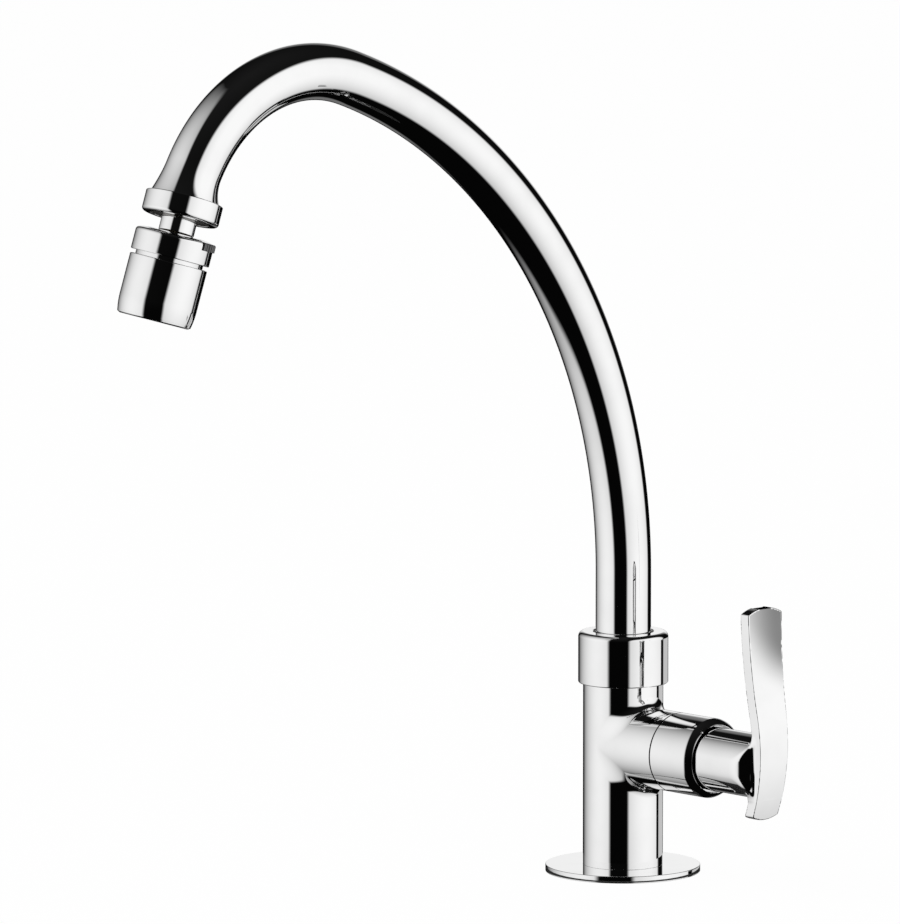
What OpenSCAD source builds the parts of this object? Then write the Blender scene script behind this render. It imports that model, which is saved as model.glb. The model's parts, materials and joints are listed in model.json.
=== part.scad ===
// Gooseneck bar faucet: a single-supply deck faucet with a swivelling high-arch spout,
// a quarter-turn side valve and a ball-jointed spray head. Sizes are in millimetres.
//
// Frame: the origin is on the body's axis at the deck's top face, +Z is up, -Y is the
// way the spout points at rest and +X is the valve's axis, towards the lever.

/* [Deck clamp] */
// Thickness of the deck that the faucet is clamped to
deck_t = 20; // [10:0.5:22]
// Major diameter of the G 1/2 pipe thread on the shank
shank_d = 20.96; // [20.5:0.02:21.4]
// Length of the shank below the deck's top face
shank_drop = 52; // [50:0.5:70]
// Length of the shank's own thread for the supply hose
hose_thread_len = 15; // [10:0.5:15]
// Waterway through the shank
shank_bore_d = 12; // [9:0.1:14]
// Width across the flats of the lock nut
lock_nut_af = 27; // [26:0.1:30]
// Height of the lock nut
lock_nut_h = 8; // [6:0.1:9]
// Outer diameter of the clamp washer
clamp_washer_d = 36; // [32:0.5:44]
// Thickness of the clamp washer
clamp_washer_t = 2; // [1.5:0.1:3]
// Thickness of the rubber washer under the deck
clamp_gasket_t = 2.5; // [1.5:0.1:3]

/* [Escutcheon] */
// Diameter of the base disc
escutcheon_d = 53.4; // [51:0.1:60]
// Thickness of the base disc
escutcheon_t = 2.4; // [2.2:0.1:4]
// Depth of the gasket's recess in the underside
gasket_recess = 1.2; // [0.8:0.1:1.4]
// Inner diameter of the gasket's recess
gasket_recess_in_d = 32; // [30:0.5:36]
// Outer diameter of the gasket's recess
gasket_recess_out_d = 47.5; // [42:0.5:49]

/* [Body] */
// Diameter of the upright body
body_d = 27.6; // [27.5:0.05:28.6]
// Height of the body's shoulder above the deck, where the spout nut sits
body_h = 65.7; // [64:0.1:72]
// Diameter of the threaded neck on top of the body
body_neck_d = 25.4; // [25:0.05:25.8]
// Height of that neck
body_neck_h = 10.3; // [9:0.1:12]
// Depth of the spout's socket, from the neck's top
socket_depth = 19; // [18:0.1:19.8]
// Bore of the spout's socket
socket_d = 20.04; // [19.6:0.02:20.5]
// Vertical waterway in the body
waterway_d = 11.2; // [10:0.1:12]
// Thread depth of the shank in the body
shank_grip = 14.6; // [10:0.1:18]

/* [Valve branch] */
// Diameter of the side branch
branch_d = 27.4; // [27:0.05:27.45]
// Drop of the branch's axis below the body's shoulder
branch_drop = 21.2; // [21:0.1:24]
// Distance from the body's axis to the branch's end face
branch_len = 27.4; // [27:0.1:32]
// Bore of the branch, for the cartridge's thread
branch_bore_d = 21; // [20.6:0.05:21.4]
// Distance from the body's axis to the valve seat
seat_x = 8; // [7.6:0.1:8.4]
// Hole in the valve seat
seat_hole_d = 10; // [8:0.1:10.4]

/* [Cartridge] */
// Diameter of the ceramic discs
disc_d = 16.4; // [15.5:0.1:16.6]
// Thickness of one ceramic disc
disc_t = 2.95; // [2.5:0.05:3.2]
// Wall of the cartridge's cage
cage_wall = 1.2; // [0.9:0.1:1.4]
// Width of the outlet windows in the cage
window_w = 7; // [5:0.1:8]
// Diameter of the cartridge's flange
flange_d = 24; // [23:0.1:24.2]
// Thickness of that flange
flange_t = 1.7; // [1.2:0.1:2]
// Width across the flats of the cartridge's hexagon
cartridge_af = 19; // [17:0.1:20.4]
// Length of the hexagon
cartridge_hex_len = 5.4; // [4.5:0.1:6]
// Diameter of the cartridge's neck
cartridge_neck_d = 15; // [13.5:0.1:15.2]
// Length of the neck
cartridge_neck_len = 8.2; // [7.4:0.1:8.6]
// Diameter of the spindle
spindle_d = 8; // [7.4:0.05:8.6]
// Length of the spindle's splined end
spline_len = 8; // [6:0.1:8.3]
// Number of teeth on the spline
spline_teeth = 20; // [12:1:24]

/* [Bonnet sleeve] */
// Diameter of the sleeve
sleeve_d = 27.4; // [27.3:0.05:28.4]
// Length of the sleeve, up to its bevel
sleeve_len = 16.25; // [15.6:0.05:17.5]
// Length of the bevel along the axis
bevel_len = 2.6; // [1.8:0.1:3.2]
// Diameter of the sleeve's mouth
mouth_d = 23.2; // [22.8:0.1:23.6]
// Thickness of the sleeve's inner web
web_t = 2.2; // [1.5:0.1:2.6]

/* [Lever] */
// Diameter of the lever's hub
hub_d = 21.8; // [21:0.1:22.2]
// Distance from the body's axis to the blade's most outward point
lever_reach = 74.5; // [73:0.1:82]
// Height of that point above the valve's axis
bulge_rise = 6.1; // [2:0.1:7]
// Height of the blade's tip above the valve's axis
lever_up = 54.9; // [40:0.1:70]
// Drop of the blade's lower end below the valve's axis
lever_down = 18.1; // [17.5:0.1:21]
// Width of the blade at its tip
lever_top_w = 16.1; // [12:0.1:18]
// Width of the blade at its lower end
lever_low_w = 11.7; // [9:0.1:14]
// Thickness of the blade
lever_t = 4; // [3:0.1:4.4]
// Radius of the blade's outward bulge
bulge_r = 65; // [58:0.5:90]
// Radius of the blade's hollow upper part
hollow_r = 200; // [150:1:400]
// Rounding where the hub meets the blade
hub_fillet_r = 3.6; // [2:0.1:4.5]
// Thread diameter of the lever's set screw
set_screw_d = 4; // [3:0.1:4.6]

/* [Spout nut] */
// Diameter of the nut
nut_d = 31; // [30:0.1:34]
// Height of the nut
nut_h = 17.8; // [17.6:0.1:20]
// Rounding of the nut's top edge
nut_edge_r = 1.8; // [0.8:0.1:2.2]
// Thickness of the nut's top lip
nut_lip_t = 2.6; // [2:0.1:2.7]
// Hole in the lip, around the tube
nut_hole_d = 20.6; // [20.2:0.1:21.4]

/* [Spout tube] */
// Outer diameter of the tube
tube_d = 19.05; // [18.6:0.05:19.1]
// Wall of the tube
tube_wall = 1; // [0.7:0.05:1.5]
// Straight length of the tube above the nut
riser_len = 20.6; // [10:0.1:60]
// Bend radius of the long arch
arch_r = 189.8; // [150:0.5:240]
// Angle of the long arch
arch_a = 70.7; // [60:0.1:78]
// Bend radius of the tight bend
hook_r = 56.8; // [50:0.1:75]
// Angle of the tight bend
hook_a = 90.1; // [80:0.1:98]
// Waterway in the spout's brass tail
tail_bore_d = 12; // [9:0.1:13]

/* [Spout end] */
// Diameter of the spout's flared mouth
flare_d = 22.5; // [21.4:0.1:23.6]
// Length of the flare
flare_len = 10; // [7:0.1:12]
// Diameter of the end ring
ring_d = 26; // [25:0.1:28]
// Height of the end ring
ring_h = 7.1; // [7:0.1:8.5]
// Rounding of the ring's lower edge
ring_edge_r = 1.2; // [0.5:0.1:1.6]
// Bore of the ring, around the swivel stem
ring_bore_d = 20; // [19.6:0.1:21]

/* [Swivel stem] */
// Diameter of the visible neck
neck_d = 11.9; // [11:0.05:12.4]
// Diameter of the ball
ball_d = 18; // [17.6:0.05:18.1]
// Distance from the ring's top to the ball's centre
ball_drop = 18.6; // [18:0.1:22]
// Waterway in the stem
stem_bore_d = 7; // [5:0.1:8]
// Diameter of the stem's flange inside the ring
stem_flange_d = 18.6; // [17.5:0.1:19]

/* [Spray head] */
// Lean of the head away from the spout's axis
head_lean = 5.6; // [0:0.1:12]
// Direction of that lean, about the spout's axis
head_lean_dir = -51; // [-180:1:180]
// Diameter of the head's collar
collar_d = 26.5; // [25.6:0.1:27]
// Height of the collar above the ball's centre
collar_rise = 6.6; // [6.2:0.1:7]
// Drop of the collar below the ball's centre
collar_drop = 1.7; // [1.2:0.1:2]
// Height of the collar's dome
dome_h = 0.9; // [0.3:0.1:1.1]
// Opening in the dome, around the neck
dome_hole_d = 16.8; // [16.2:0.1:17.6]
// Inner diameter of the collar
collar_bore_d = 22.8; // [22.4:0.1:23]
// Diameter of the barrel
barrel_d = 26.1; // [25:0.1:26.4]
// Diameter of the barrel's rim
rim_d = 24.6; // [23.6:0.1:25]
// Gap that shows between the collar and the barrel
groove_h = 1.3; // [0.6:0.1:2]
// Length of the barrel below that gap
barrel_len = 20.2; // [18.5:0.1:24]
// Length of the barrel's rounded lower end
barrel_taper_len = 6.3; // [3:0.1:8]
// Bore of the barrel, for the aerator
barrel_bore_d = 21.2; // [20.4:0.1:21.6]
// Angle that the ribbed grip covers
grip_a = 48; // [30:1:70]
// Direction of the grip, about the head's axis
grip_dir = -30; // [-180:1:180]
// Number of ribs on the grip
grip_ribs = 7; // [4:1:9]

/* [Hidden] */

$fn = 96;

// Clearances
thread_gap = 0.02;      // a thread in its nut or socket
running_gap = 0.05;     // a turning fit
seat_gap = 0.05;        // flat faces that lie on each other
part_gap = 0.1;         // loose pieces side by side
shank_hole_gap = 0.32;  // a plain hole around the shank
seam_gap = 0.15;        // a joint line that shows
cut = 1;                // how far a cutting shape runs past a face

// Finishes
chrome = [0.82, 0.84, 0.86];
brass = [0.80, 0.66, 0.36];
steel = [0.62, 0.64, 0.66];
rubber = [0.12, 0.12, 0.13];
nylon = [0.90, 0.90, 0.86];
ceramic = [0.95, 0.94, 0.90];
black_plastic = [0.10, 0.10, 0.11];

// Deck clamp, from the deck's underside down
clamp_gasket_top = -deck_t;
clamp_washer_top = clamp_gasket_top - clamp_gasket_t;
lock_nut_top = clamp_washer_top - clamp_washer_t;
shank_hole_d = shank_d + 2 * shank_hole_gap;
thread_relief_h = 1.8;
thread_relief_depth = 1.1;
hex_corner = 1 / cos(30);

// Body
branch_z = body_h - branch_drop;
neck_top = body_h + body_neck_h;
socket_floor = neck_top - socket_depth;
base_o_ring_r = 0.75;
base_o_ring_track_d = shank_hole_d + 4 * base_o_ring_r;
shank_top = escutcheon_t + shank_grip;
water_top = branch_z + waterway_d / 2;
transfer_d = 5.2;
transfer_x = socket_d / 2 - 0.62;

// Valve, as distances from the body's axis
seal_t = 2.3;
seal_hole_d = seat_hole_d + 0.4;
cage_x = seat_x + seal_t - part_gap;
disc1_x = seat_x + seal_t + seat_gap + 0.1;
disc2_x = disc1_x + disc_t + seat_gap;
driver_x = disc2_x + disc_t + part_gap;
driver_t = 3;
washer_x = driver_x + driver_t + seat_gap;
washer_t = 0.8;
cage_floor_x = washer_x + washer_t + seat_gap;
cage_bore_d = disc_d + 2 * part_gap;
cage_d = cage_bore_d + 2 * cage_wall;
cartridge_thread_d = branch_bore_d - 2 * thread_gap;
gasket_x = branch_len + seat_gap;
gasket_t = 0.4;
flange_x = gasket_x + gasket_t + seat_gap;
hex_x = flange_x + flange_t;
cartridge_neck_x = hex_x + cartridge_hex_len;
cartridge_end_x = cartridge_neck_x + cartridge_neck_len;
spindle_bore_d = spindle_d + 2 * running_gap;
spindle_ring_r = 0.56;
spindle_ring_floor_d = spindle_d - 4 * spindle_ring_r + 0.06;
spindle_ring_pitch = 4;
clip_t = 0.7;
clip_x = cartridge_end_x + part_gap;
clip_d = spindle_d + 3.2;
clip_floor_d = spindle_d - 1.8;
spline_x = clip_x + clip_t + 0.4;
spline_end_x = spline_x + spline_len;
disc_port_d = 4.4;
disc_port_offset = 4.6;
fork_w = 3;
fork_depth = 1.5;

// Bonnet sleeve
sleeve_x = branch_len + seam_gap;
bevel_x = sleeve_x + sleeve_len;
sleeve_end_x = bevel_x + bevel_len;
sleeve_bore_d = flange_d + 0.5;
web_x = cartridge_neck_x + part_gap;
web_end_x = web_x + web_t;
mouth_lip = 0.15;

// Lever
hub_x = web_end_x + 1.2;
insert_d = spindle_d + 5;
insert_x = spline_x;
insert_len = spline_len + 0.5;
hub_clear_d = cartridge_neck_d + 1.4;
hub_clear_len = insert_x - part_gap - hub_x;
set_screw_x = insert_x + insert_len / 2;
set_screw_tip = spindle_d / 2 + 0.3;
set_screw_end = hub_d / 2 - 1.3;
key_af = set_screw_d / 2;
bulge_x = lever_reach - bulge_r;
bulge_top_a = 10.8;
tip_crown = 2.1;
low_crown = 1.4;
blade_steps = 10;

// Spout nut and tail
nut_z = body_h + 0.05;
nut_top = nut_z + nut_h;
nut_bore_d = body_neck_d + 0.2;
washer_h = 1;
tail_flange_z = neck_top + washer_h + 2 * seat_gap;
tail_flange_h = 1.8;
tail_flange_d = body_neck_d - 0.4;
tube_foot_z = tail_flange_z + tail_flange_h + seat_gap;
slip_ring_h = nut_top - nut_lip_t - tube_foot_z - 2 * seat_gap;
tail_d = socket_d - 2 * running_gap;
tail_ring_r = 0.77;
tail_ring_floor_d = tail_d - 4 * tail_ring_r - 0.04;
tail_ring_low = 5;
tail_ring_pitch = 5.5;
tail_drop = neck_top - socket_floor - 1;
tube_bore_d = tube_d - 2 * tube_wall;
tube_mid_r = (tube_d - tube_wall) / 2;
bend_thinning = 0.1;       // the tight bend's wall is drawn this much thinner
spigot_d = tube_bore_d - 2 * thread_gap;
spigot_h = 9;

// Spout path: straight riser, long arch, tight bend
riser_top = nut_top + riser_len;
arch_end_y = -arch_r * (1 - cos(arch_a));
arch_end_z = riser_top + arch_r * sin(arch_a);
bend_a = arch_a + hook_a;
outlet_y = arch_end_y - hook_r * (cos(arch_a) - cos(bend_a));
outlet_z = arch_end_z + hook_r * (sin(bend_a) - sin(arch_a));

// Spout end, as distances along the outlet's axis from the ring's top face
ring_spigot_d = tube_bore_d - 0.6;
ring_spigot_h = 4;
ring_ceiling = 1.6;
ring_top_edge = 0.4;
flange_top = ring_ceiling + 0.3;
flange_low = 4.6;
stem_ring_r = 0.75;
stem_ring_track_d = neck_d + 4 * stem_ring_r;
stem_washer_t = 0.6;
retainer_top = flange_low + stem_washer_t + 2 * seat_gap;
retainer_low = ring_h - 0.15;
flare_steps = 8;

// Spray head, as distances along its axis from the ball's centre
lip_t = 1.75;
lip_low = -collar_rise + lip_t;
shoulder_r = 0.7;
ball_gap = 0.04;
seat_low = -0.6;
barrel_top = seat_low + 0.2;
barrel_x = collar_drop + groove_h;
barrel_end = barrel_x + barrel_len;
barrel_neck_d = collar_bore_d - 2 * running_gap;
barrel_neck_bore_d = ball_d + 1.2;
seal_top = 1.5;
seal_low = 6.15;
shoulder_top = seal_low + seat_gap;
shoulder_t = 1.2;
shoulder_hole_d = 16;
chamber_top = shoulder_top + shoulder_t;
ball_cut = 5.6;
snap_ring_r = 0.42;
snap_ring_z = collar_drop - 0.85;
aerator_d = barrel_bore_d - 2 * part_gap;
aerator_washer_t = 0.9;
regulator_top = chamber_top + seat_gap + aerator_washer_t + seat_gap;
regulator_t = 1.6;
cage_top = regulator_top + regulator_t + part_gap;
plate_t = 1.7;
plate_low = barrel_end - 1.7;
plate_top = plate_low - plate_t;
grip_rise = 5.9;
grip_h = 2.7;
grip_proud = 0.6;
grip_root = 0.5;

// Points on an arc about c, from angle a0 to a1
function arc(c, r, a0, a1, steps = 12) =
    [for (i = [0:steps]) c + r * [cos(a0 + (a1 - a0) * i / steps), sin(a0 + (a1 - a0) * i / steps)]];

// Upright ring between two heights
module ring(outer_d, inner_d, z0, z1) {
    translate([0, 0, z0])
        difference() {
            cylinder(d = outer_d, h = z1 - z0);
            translate([0, 0, -cut]) cylinder(d = inner_d, h = z1 - z0 + 2 * cut);
        }
}

// Plain rod between two heights
module rod(d, z0, z1) {
    translate([0, 0, z0]) cylinder(d = d, h = z1 - z0);
}

// Hexagonal bar between two heights, measured across its flats
module hex_bar(af, z0, z1) {
    translate([0, 0, z0]) cylinder(d = af * hex_corner, h = z1 - z0, $fn = 6);
}

// Round-section ring, such as an O-ring
module round_ring(track_d, section_r, z) {
    translate([0, 0, z]) rotate_extrude() translate([track_d / 2, 0]) circle(r = section_r, $fn = 32);
}

// Places what stands on the valve's axis: local +Z points along world +X
module on_valve() {
    translate([0, 0, branch_z]) rotate([0, 90, 0]) children();
}

// Places what stands on the spout's outlet: local +Z points the way the water leaves
module on_outlet() {
    translate([0, outlet_y, outlet_z]) rotate([bend_a, 0, 0]) children();
}

// Places what belongs to the leaning head, with the ball's centre as its origin
module on_head() {
    on_outlet() translate([0, 0, ball_drop])
        rotate(a = head_lean, v = [cos(head_lean_dir), sin(head_lean_dir), 0]) children();
}

// Bent stretch of a hollow tube, between two angles; at angle 0 it passes the origin along +Z
module tube_bend(bend_r, a0, a1, wall) {
    translate([0, -bend_r, 0]) rotate([90, 0, 90])
        rotate_extrude(angle = a1 - a0, start = a0, $fn = 180)
            translate([bend_r, 0]) difference() {
                circle(r = tube_mid_r + wall / 2);
                circle(r = tube_mid_r - wall / 2);
            }
}

// ---- Deck clamp ----

module escutcheon() {
    edge = 0.25;
    color(chrome) rotate_extrude() polygon([
        [shank_hole_d / 2, 0], [gasket_recess_in_d / 2, 0],
        [gasket_recess_in_d / 2, gasket_recess], [gasket_recess_out_d / 2, gasket_recess],
        [gasket_recess_out_d / 2, 0], [escutcheon_d / 2, 0],
        [escutcheon_d / 2, escutcheon_t - edge], [escutcheon_d / 2 - edge, escutcheon_t],
        [shank_hole_d / 2, escutcheon_t]
    ]);
}

module deck_gasket() {
    color(rubber) ring(gasket_recess_out_d - 2 * part_gap, gasket_recess_in_d + 2 * part_gap,
                       0, gasket_recess - seat_gap);
}

module base_o_ring() {
    color(rubber) round_ring(base_o_ring_track_d, base_o_ring_r, escutcheon_t + base_o_ring_r);
}

module inlet_shank() {
    relief_z = -shank_drop + hose_thread_len;
    color(brass) difference() {
        rod(shank_d, -shank_drop, shank_top);
        rod(shank_bore_d, -shank_drop - cut, shank_top + cut);
        ring(shank_d + 2 * cut, shank_d - 2 * thread_relief_depth, relief_z, relief_z + thread_relief_h);
    }
}

module clamp_gasket() {
    color(rubber) ring(clamp_washer_d - 1, shank_hole_d, clamp_gasket_top - clamp_gasket_t, clamp_gasket_top);
}

module clamp_washer() {
    color(steel) ring(clamp_washer_d, shank_hole_d, clamp_washer_top - clamp_washer_t, clamp_washer_top);
}

module lock_nut() {
    low = lock_nut_top - lock_nut_h;
    chamfer = 1.2;
    color(brass) difference() {
        intersection() {
            hex_bar(lock_nut_af, low, lock_nut_top);
            translate([0, 0, low])
                cylinder(d1 = lock_nut_af + chamfer, d2 = lock_nut_af + chamfer + 2 * lock_nut_h, h = lock_nut_h);
        }
        rod(shank_d + 2 * thread_gap, low - cut, lock_nut_top + cut);
    }
}

// ---- Body ----

module body() {
    groove_d = base_o_ring_track_d;
    groove_w = 2 * base_o_ring_r + part_gap;
    color(chrome) difference() {
        union() {
            rod(body_d, escutcheon_t, body_h);
            rod(body_neck_d, body_h - cut, neck_top);
            on_valve() rod(branch_d, 0, branch_len);
        }
        // shank thread and its seal
        rod(shank_d + 2 * thread_gap, escutcheon_t - cut, shank_top + part_gap);
        ring(groove_d + groove_w, groove_d - groove_w, escutcheon_t - cut, escutcheon_t + 2 * base_o_ring_r + seat_gap);
        // water comes up, turns to the valve seat and leaves the chamber by the transfer port
        rod(waterway_d, escutcheon_t, water_top);
        on_valve() rod(seat_hole_d, 0, seat_x + cut);
        on_valve() rod(branch_bore_d, seat_x, branch_len + cut);
        translate([transfer_x, 0, 0]) rod(transfer_d, branch_z + cage_d / 2, socket_floor + cut);
        // spout socket
        rod(socket_d, socket_floor, neck_top + cut);
    }
}

// ---- Spout nut and bearings ----

module spout_nut() {
    r = nut_d / 2;
    foot = 0.3;
    hole_edge = 0.5;
    color(chrome) translate([0, 0, nut_z]) rotate_extrude() polygon(concat(
        [[nut_bore_d / 2, 0], [r - foot, 0], [r, foot]],
        arc([r - nut_edge_r, nut_h - nut_edge_r], nut_edge_r, 0, 90, 8),
        [[nut_hole_d / 2 + hole_edge, nut_h], [nut_hole_d / 2, nut_h - hole_edge],
         [nut_hole_d / 2, nut_h - nut_lip_t], [nut_bore_d / 2, nut_h - nut_lip_t]]
    ));
}

module thrust_washer() {
    color(nylon) ring(body_neck_d - 2 * part_gap, socket_d + 0.3, neck_top + seat_gap, neck_top + seat_gap + washer_h);
}

module slip_ring() {
    z = tube_foot_z + seat_gap;
    color(nylon) ring(body_neck_d - 2 * part_gap, tube_d + 0.4, z, z + slip_ring_h);
}

// ---- Valve ----

module cartridge_housing() {
    ports = 4;
    color(brass) on_valve() difference() {
        union() {
            rod(cage_d, cage_x, cage_floor_x + cut);
            rod(cartridge_thread_d, cage_floor_x, flange_x + cut);
            rod(flange_d, flange_x, hex_x);
            hex_bar(cartridge_af, hex_x - cut, cartridge_neck_x);
            rod(cartridge_neck_d, cartridge_neck_x - cut, cartridge_end_x);
        }
        rod(cage_bore_d, cage_x - cut, cage_floor_x);
        rod(spindle_bore_d, cage_floor_x - cut, cartridge_end_x + cut);
        for (i = [0:ports / 2 - 1])
            rotate([0, 0, i * 360 / ports])
                translate([-branch_bore_d, -window_w / 2, driver_x + part_gap])
                    cube([2 * branch_bore_d, window_w, driver_t - 2 * part_gap]);
    }
}

module cartridge_gasket() {
    color(rubber) on_valve() ring(flange_d, cartridge_thread_d + 0.2, gasket_x, gasket_x + gasket_t);
}

module seat_seal() {
    color(rubber) on_valve() ring(disc_d, seal_hole_d, seat_x + seat_gap, seat_x + seal_t);
}

// Ceramic disc with two ports, from distance x along the valve's axis
module ceramic_disc(x) {
    difference() {
        rod(disc_d, x, x + disc_t);
        for (side = [-1, 1])
            translate([0, side * disc_port_offset, 0]) rod(disc_port_d, x - cut, x + disc_t + cut);
    }
}

module fixed_disc() {
    color(ceramic) on_valve() ceramic_disc(disc1_x);
}

// The moving disc is a quarter turn from the fixed one at rest, so the valve is shut
module moving_disc() {
    color(ceramic) on_valve() difference() {
        rotate([0, 0, 90]) ceramic_disc(disc2_x);
        translate([-disc_d, -fork_w / 2 - part_gap, disc2_x + disc_t - fork_depth - part_gap])
            cube([2 * disc_d, fork_w + 2 * part_gap, disc_t]);
    }
}

module spindle() {
    tooth_h = 0.35;
    color(brass) on_valve() difference() {
        union() {
            rod(disc_d - 2 * part_gap, driver_x, driver_x + driver_t);
            intersection() {
                translate([-disc_d / 2, -fork_w / 2, driver_x - fork_depth]) cube([disc_d, fork_w, fork_depth + cut]);
                ring(disc_d - 2 * part_gap, disc_d - 5, driver_x - fork_depth, driver_x + cut);
            }
            rod(spindle_d, driver_x + driver_t - cut, spline_x);
            translate([0, 0, spline_x - cut]) linear_extrude(spline_len + cut) polygon([
                for (i = [0:2 * spline_teeth - 1])
                    (spindle_d / 2 - running_gap - (i % 2) * tooth_h)
                        * [cos(180 * i / spline_teeth), sin(180 * i / spline_teeth)]
            ]);
        }
        for (i = [0:1])
            ring(spindle_d + 2 * cut, spindle_ring_floor_d, spindle_ring_z(i) - spindle_ring_r - seat_gap,
                 spindle_ring_z(i) + spindle_ring_r + seat_gap);
        ring(clip_d, clip_floor_d, clip_x - seat_gap, clip_x + clip_t + seat_gap);
    }
}

// Where each O-ring lies on the spindle
function spindle_ring_z(i) = gasket_x + i * spindle_ring_pitch;

module spindle_o_rings() {
    color(rubber) on_valve() for (i = [0:1])
        round_ring(spindle_d - 2 * spindle_ring_r + 0.04, spindle_ring_r - 0.01, spindle_ring_z(i));
}

module spindle_washer() {
    color(nylon) on_valve() ring(disc_d - 2 * part_gap, spindle_d + 0.2, washer_x, washer_x + washer_t);
}

module spindle_clip() {
    mouth_w = 4;
    color(steel) on_valve() difference() {
        ring(clip_d, clip_floor_d + 2 * part_gap, clip_x, clip_x + clip_t);
        translate([0, -mouth_w / 2, clip_x - cut]) cube([clip_d, mouth_w, clip_t + 2 * cut]);
    }
}

module bonnet_sleeve() {
    r = sleeve_d / 2;
    mouth_r = mouth_d / 2;
    hole_r = cartridge_neck_d / 2 + part_gap;
    bore_r = sleeve_bore_d / 2;
    color(chrome) on_valve() rotate_extrude() polygon([
        [bore_r, sleeve_x], [r, sleeve_x], [r, bevel_x],
        [mouth_r + mouth_lip, sleeve_end_x], [mouth_r, sleeve_end_x],
        [mouth_r, web_end_x], [hole_r, web_end_x], [hole_r, web_x], [bore_r, web_x]
    ]);
}

// ---- Lever ----

// Centre line of the blade's outer face, seen from the spout's side, as [outward, up]
function blade_face(offset) =
    let (low_a = asin((-lever_down - bulge_rise - 1) / bulge_r),
         turn = [bulge_x, bulge_rise] + bulge_r * [cos(bulge_top_a), sin(bulge_top_a)],
         hollow_c = turn + hollow_r * [cos(bulge_top_a), sin(bulge_top_a)],
         tip_a = asin((hollow_c[1] - lever_up - 1) / hollow_r))
    concat(arc([bulge_x, bulge_rise], bulge_r - offset, low_a, bulge_top_a, blade_steps),
           arc(hollow_c, hollow_r + offset, 180 + bulge_top_a - 0.5, 180 + tip_a, blade_steps));

// Side view of the blade as a closed outline
module blade_side() {
    inner = blade_face(lever_t);
    last = len(inner) - 1;
    polygon(concat(blade_face(0), [for (i = [0:last]) inner[last - i]]));
}

// Front view of the blade: it narrows downwards, with arched ends
module blade_front() {
    top_h = lever_top_w / 2;
    low_h = lever_low_w / 2;
    top_r = (top_h * top_h + tip_crown * tip_crown) / (2 * tip_crown);
    low_r = (low_h * low_h + low_crown * low_crown) / (2 * low_crown);
    top_a = asin(top_h / top_r);
    low_a = asin(low_h / low_r);
    polygon(concat(
        arc([0, lever_up - top_r], top_r, 90 - top_a, 90 + top_a, blade_steps),
        arc([0, low_r - lever_down], low_r, 270 - low_a, 270 + low_a, blade_steps)
    ));
}

// Half width of the blade at a height above the valve's axis
function blade_half(z) =
    (lever_low_w + (lever_top_w - lever_low_w) * (z + lever_down) / (lever_up + lever_down)) / 2;

// Hub end: the part wider than the blade runs into the blade's sides in a hollow curve
module hub_end(x0) {
    wide = hub_d / 2;
    narrow = blade_half(0) - 0.1;
    sweep = wide - narrow;
    intersection() {
        rotate([0, 90, 0]) rod(hub_d, x0, x0 + 2 * sweep);
        linear_extrude(2 * hub_d, center = true) polygon(concat(
            [[x0 - cut, -wide], [x0, -wide]], arc([x0 + sweep, -wide], sweep, 180, 90, 8),
            arc([x0 + sweep, wide], sweep, 270, 180, 8), [[x0, wide], [x0 - cut, wide]]
        ));
    }
}

module lever() {
    back_x = lever_reach - lever_t;
    hub_end_x = back_x - 1;
    screw_hole_d = set_screw_d + 2 * running_gap;
    color(chrome) translate([0, 0, branch_z]) difference() {
        union() {
            // blade
            intersection() {
                rotate([90, 0, 0]) linear_extrude(2 * lever_top_w, center = true) blade_side();
                translate([lever_reach - 5 * lever_t, 0, 0]) rotate([90, 0, 90]) linear_extrude(6 * lever_t) blade_front();
            }
            // hub, and its rounded run into the blade
            rotate([0, 90, 0]) rod(hub_d, hub_x, hub_end_x);
            hub_end(hub_end_x);
            intersection() {
                rotate([0, 90, 0]) rotate_extrude() polygon(concat(
                    [[0, hub_end_x + lever_t], [0, hub_end_x - hub_fillet_r]],
                    arc([hub_d / 2 + hub_fillet_r, hub_end_x - hub_fillet_r], hub_fillet_r, 180, 90, 8),
                    [[hub_d / 2 + hub_fillet_r, hub_end_x + 0.2 * lever_t], [hub_d / 2, hub_end_x + lever_t]]
                ));
                linear_extrude(4 * hub_d, center = true)
                    square([4 * lever_reach, 2 * blade_half(-hub_d / 2)], center = true);
                rotate([90, 0, 0]) linear_extrude(2 * hub_d, center = true)
                    polygon(concat([[hub_x, lever_up], [hub_x, -lever_down]], blade_face(0)));
            }
        }
        // room for the cartridge's neck, the splined insert and the set screw
        rotate([0, 90, 0]) rod(hub_clear_d, hub_x - cut, hub_x + hub_clear_len);
        rotate([0, 90, 0]) rod(insert_d + 2 * thread_gap, hub_x, insert_x + insert_len + part_gap);
        translate([set_screw_x, 0, -hub_d]) cylinder(d = screw_hole_d, h = hub_d);
    }
}

module spline_insert() {
    color(brass) translate([0, 0, branch_z]) difference() {
        rotate([0, 90, 0]) ring(insert_d, spindle_d + 2 * part_gap, insert_x, insert_x + insert_len);
        translate([set_screw_x, 0, -hub_d]) cylinder(d = set_screw_d + 2 * running_gap, h = hub_d);
    }
}

module set_screw() {
    key_depth = 2.2;
    color(steel) translate([set_screw_x, 0, branch_z]) rotate([180, 0, 0]) difference() {
        rod(set_screw_d, set_screw_tip, set_screw_end);
        hex_bar(key_af, set_screw_end - key_depth, set_screw_end + cut);
    }
}

// ---- Spout ----

module spout_tail() {
    foot = neck_top - tail_drop;
    color(brass) difference() {
        union() {
            rod(tail_d, foot, tail_flange_z + cut);
            rod(tail_flange_d, tail_flange_z, tail_flange_z + tail_flange_h);
            rod(spigot_d, tail_flange_z, tube_foot_z + spigot_h);
        }
        rod(tail_bore_d, foot - cut, tube_foot_z + spigot_h + cut);
        for (i = [0:1])
            ring(tail_d + 2 * cut, tail_ring_floor_d, tail_ring_z(i) - tail_ring_r - part_gap,
                 tail_ring_z(i) + tail_ring_r + part_gap);
    }
}

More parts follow.
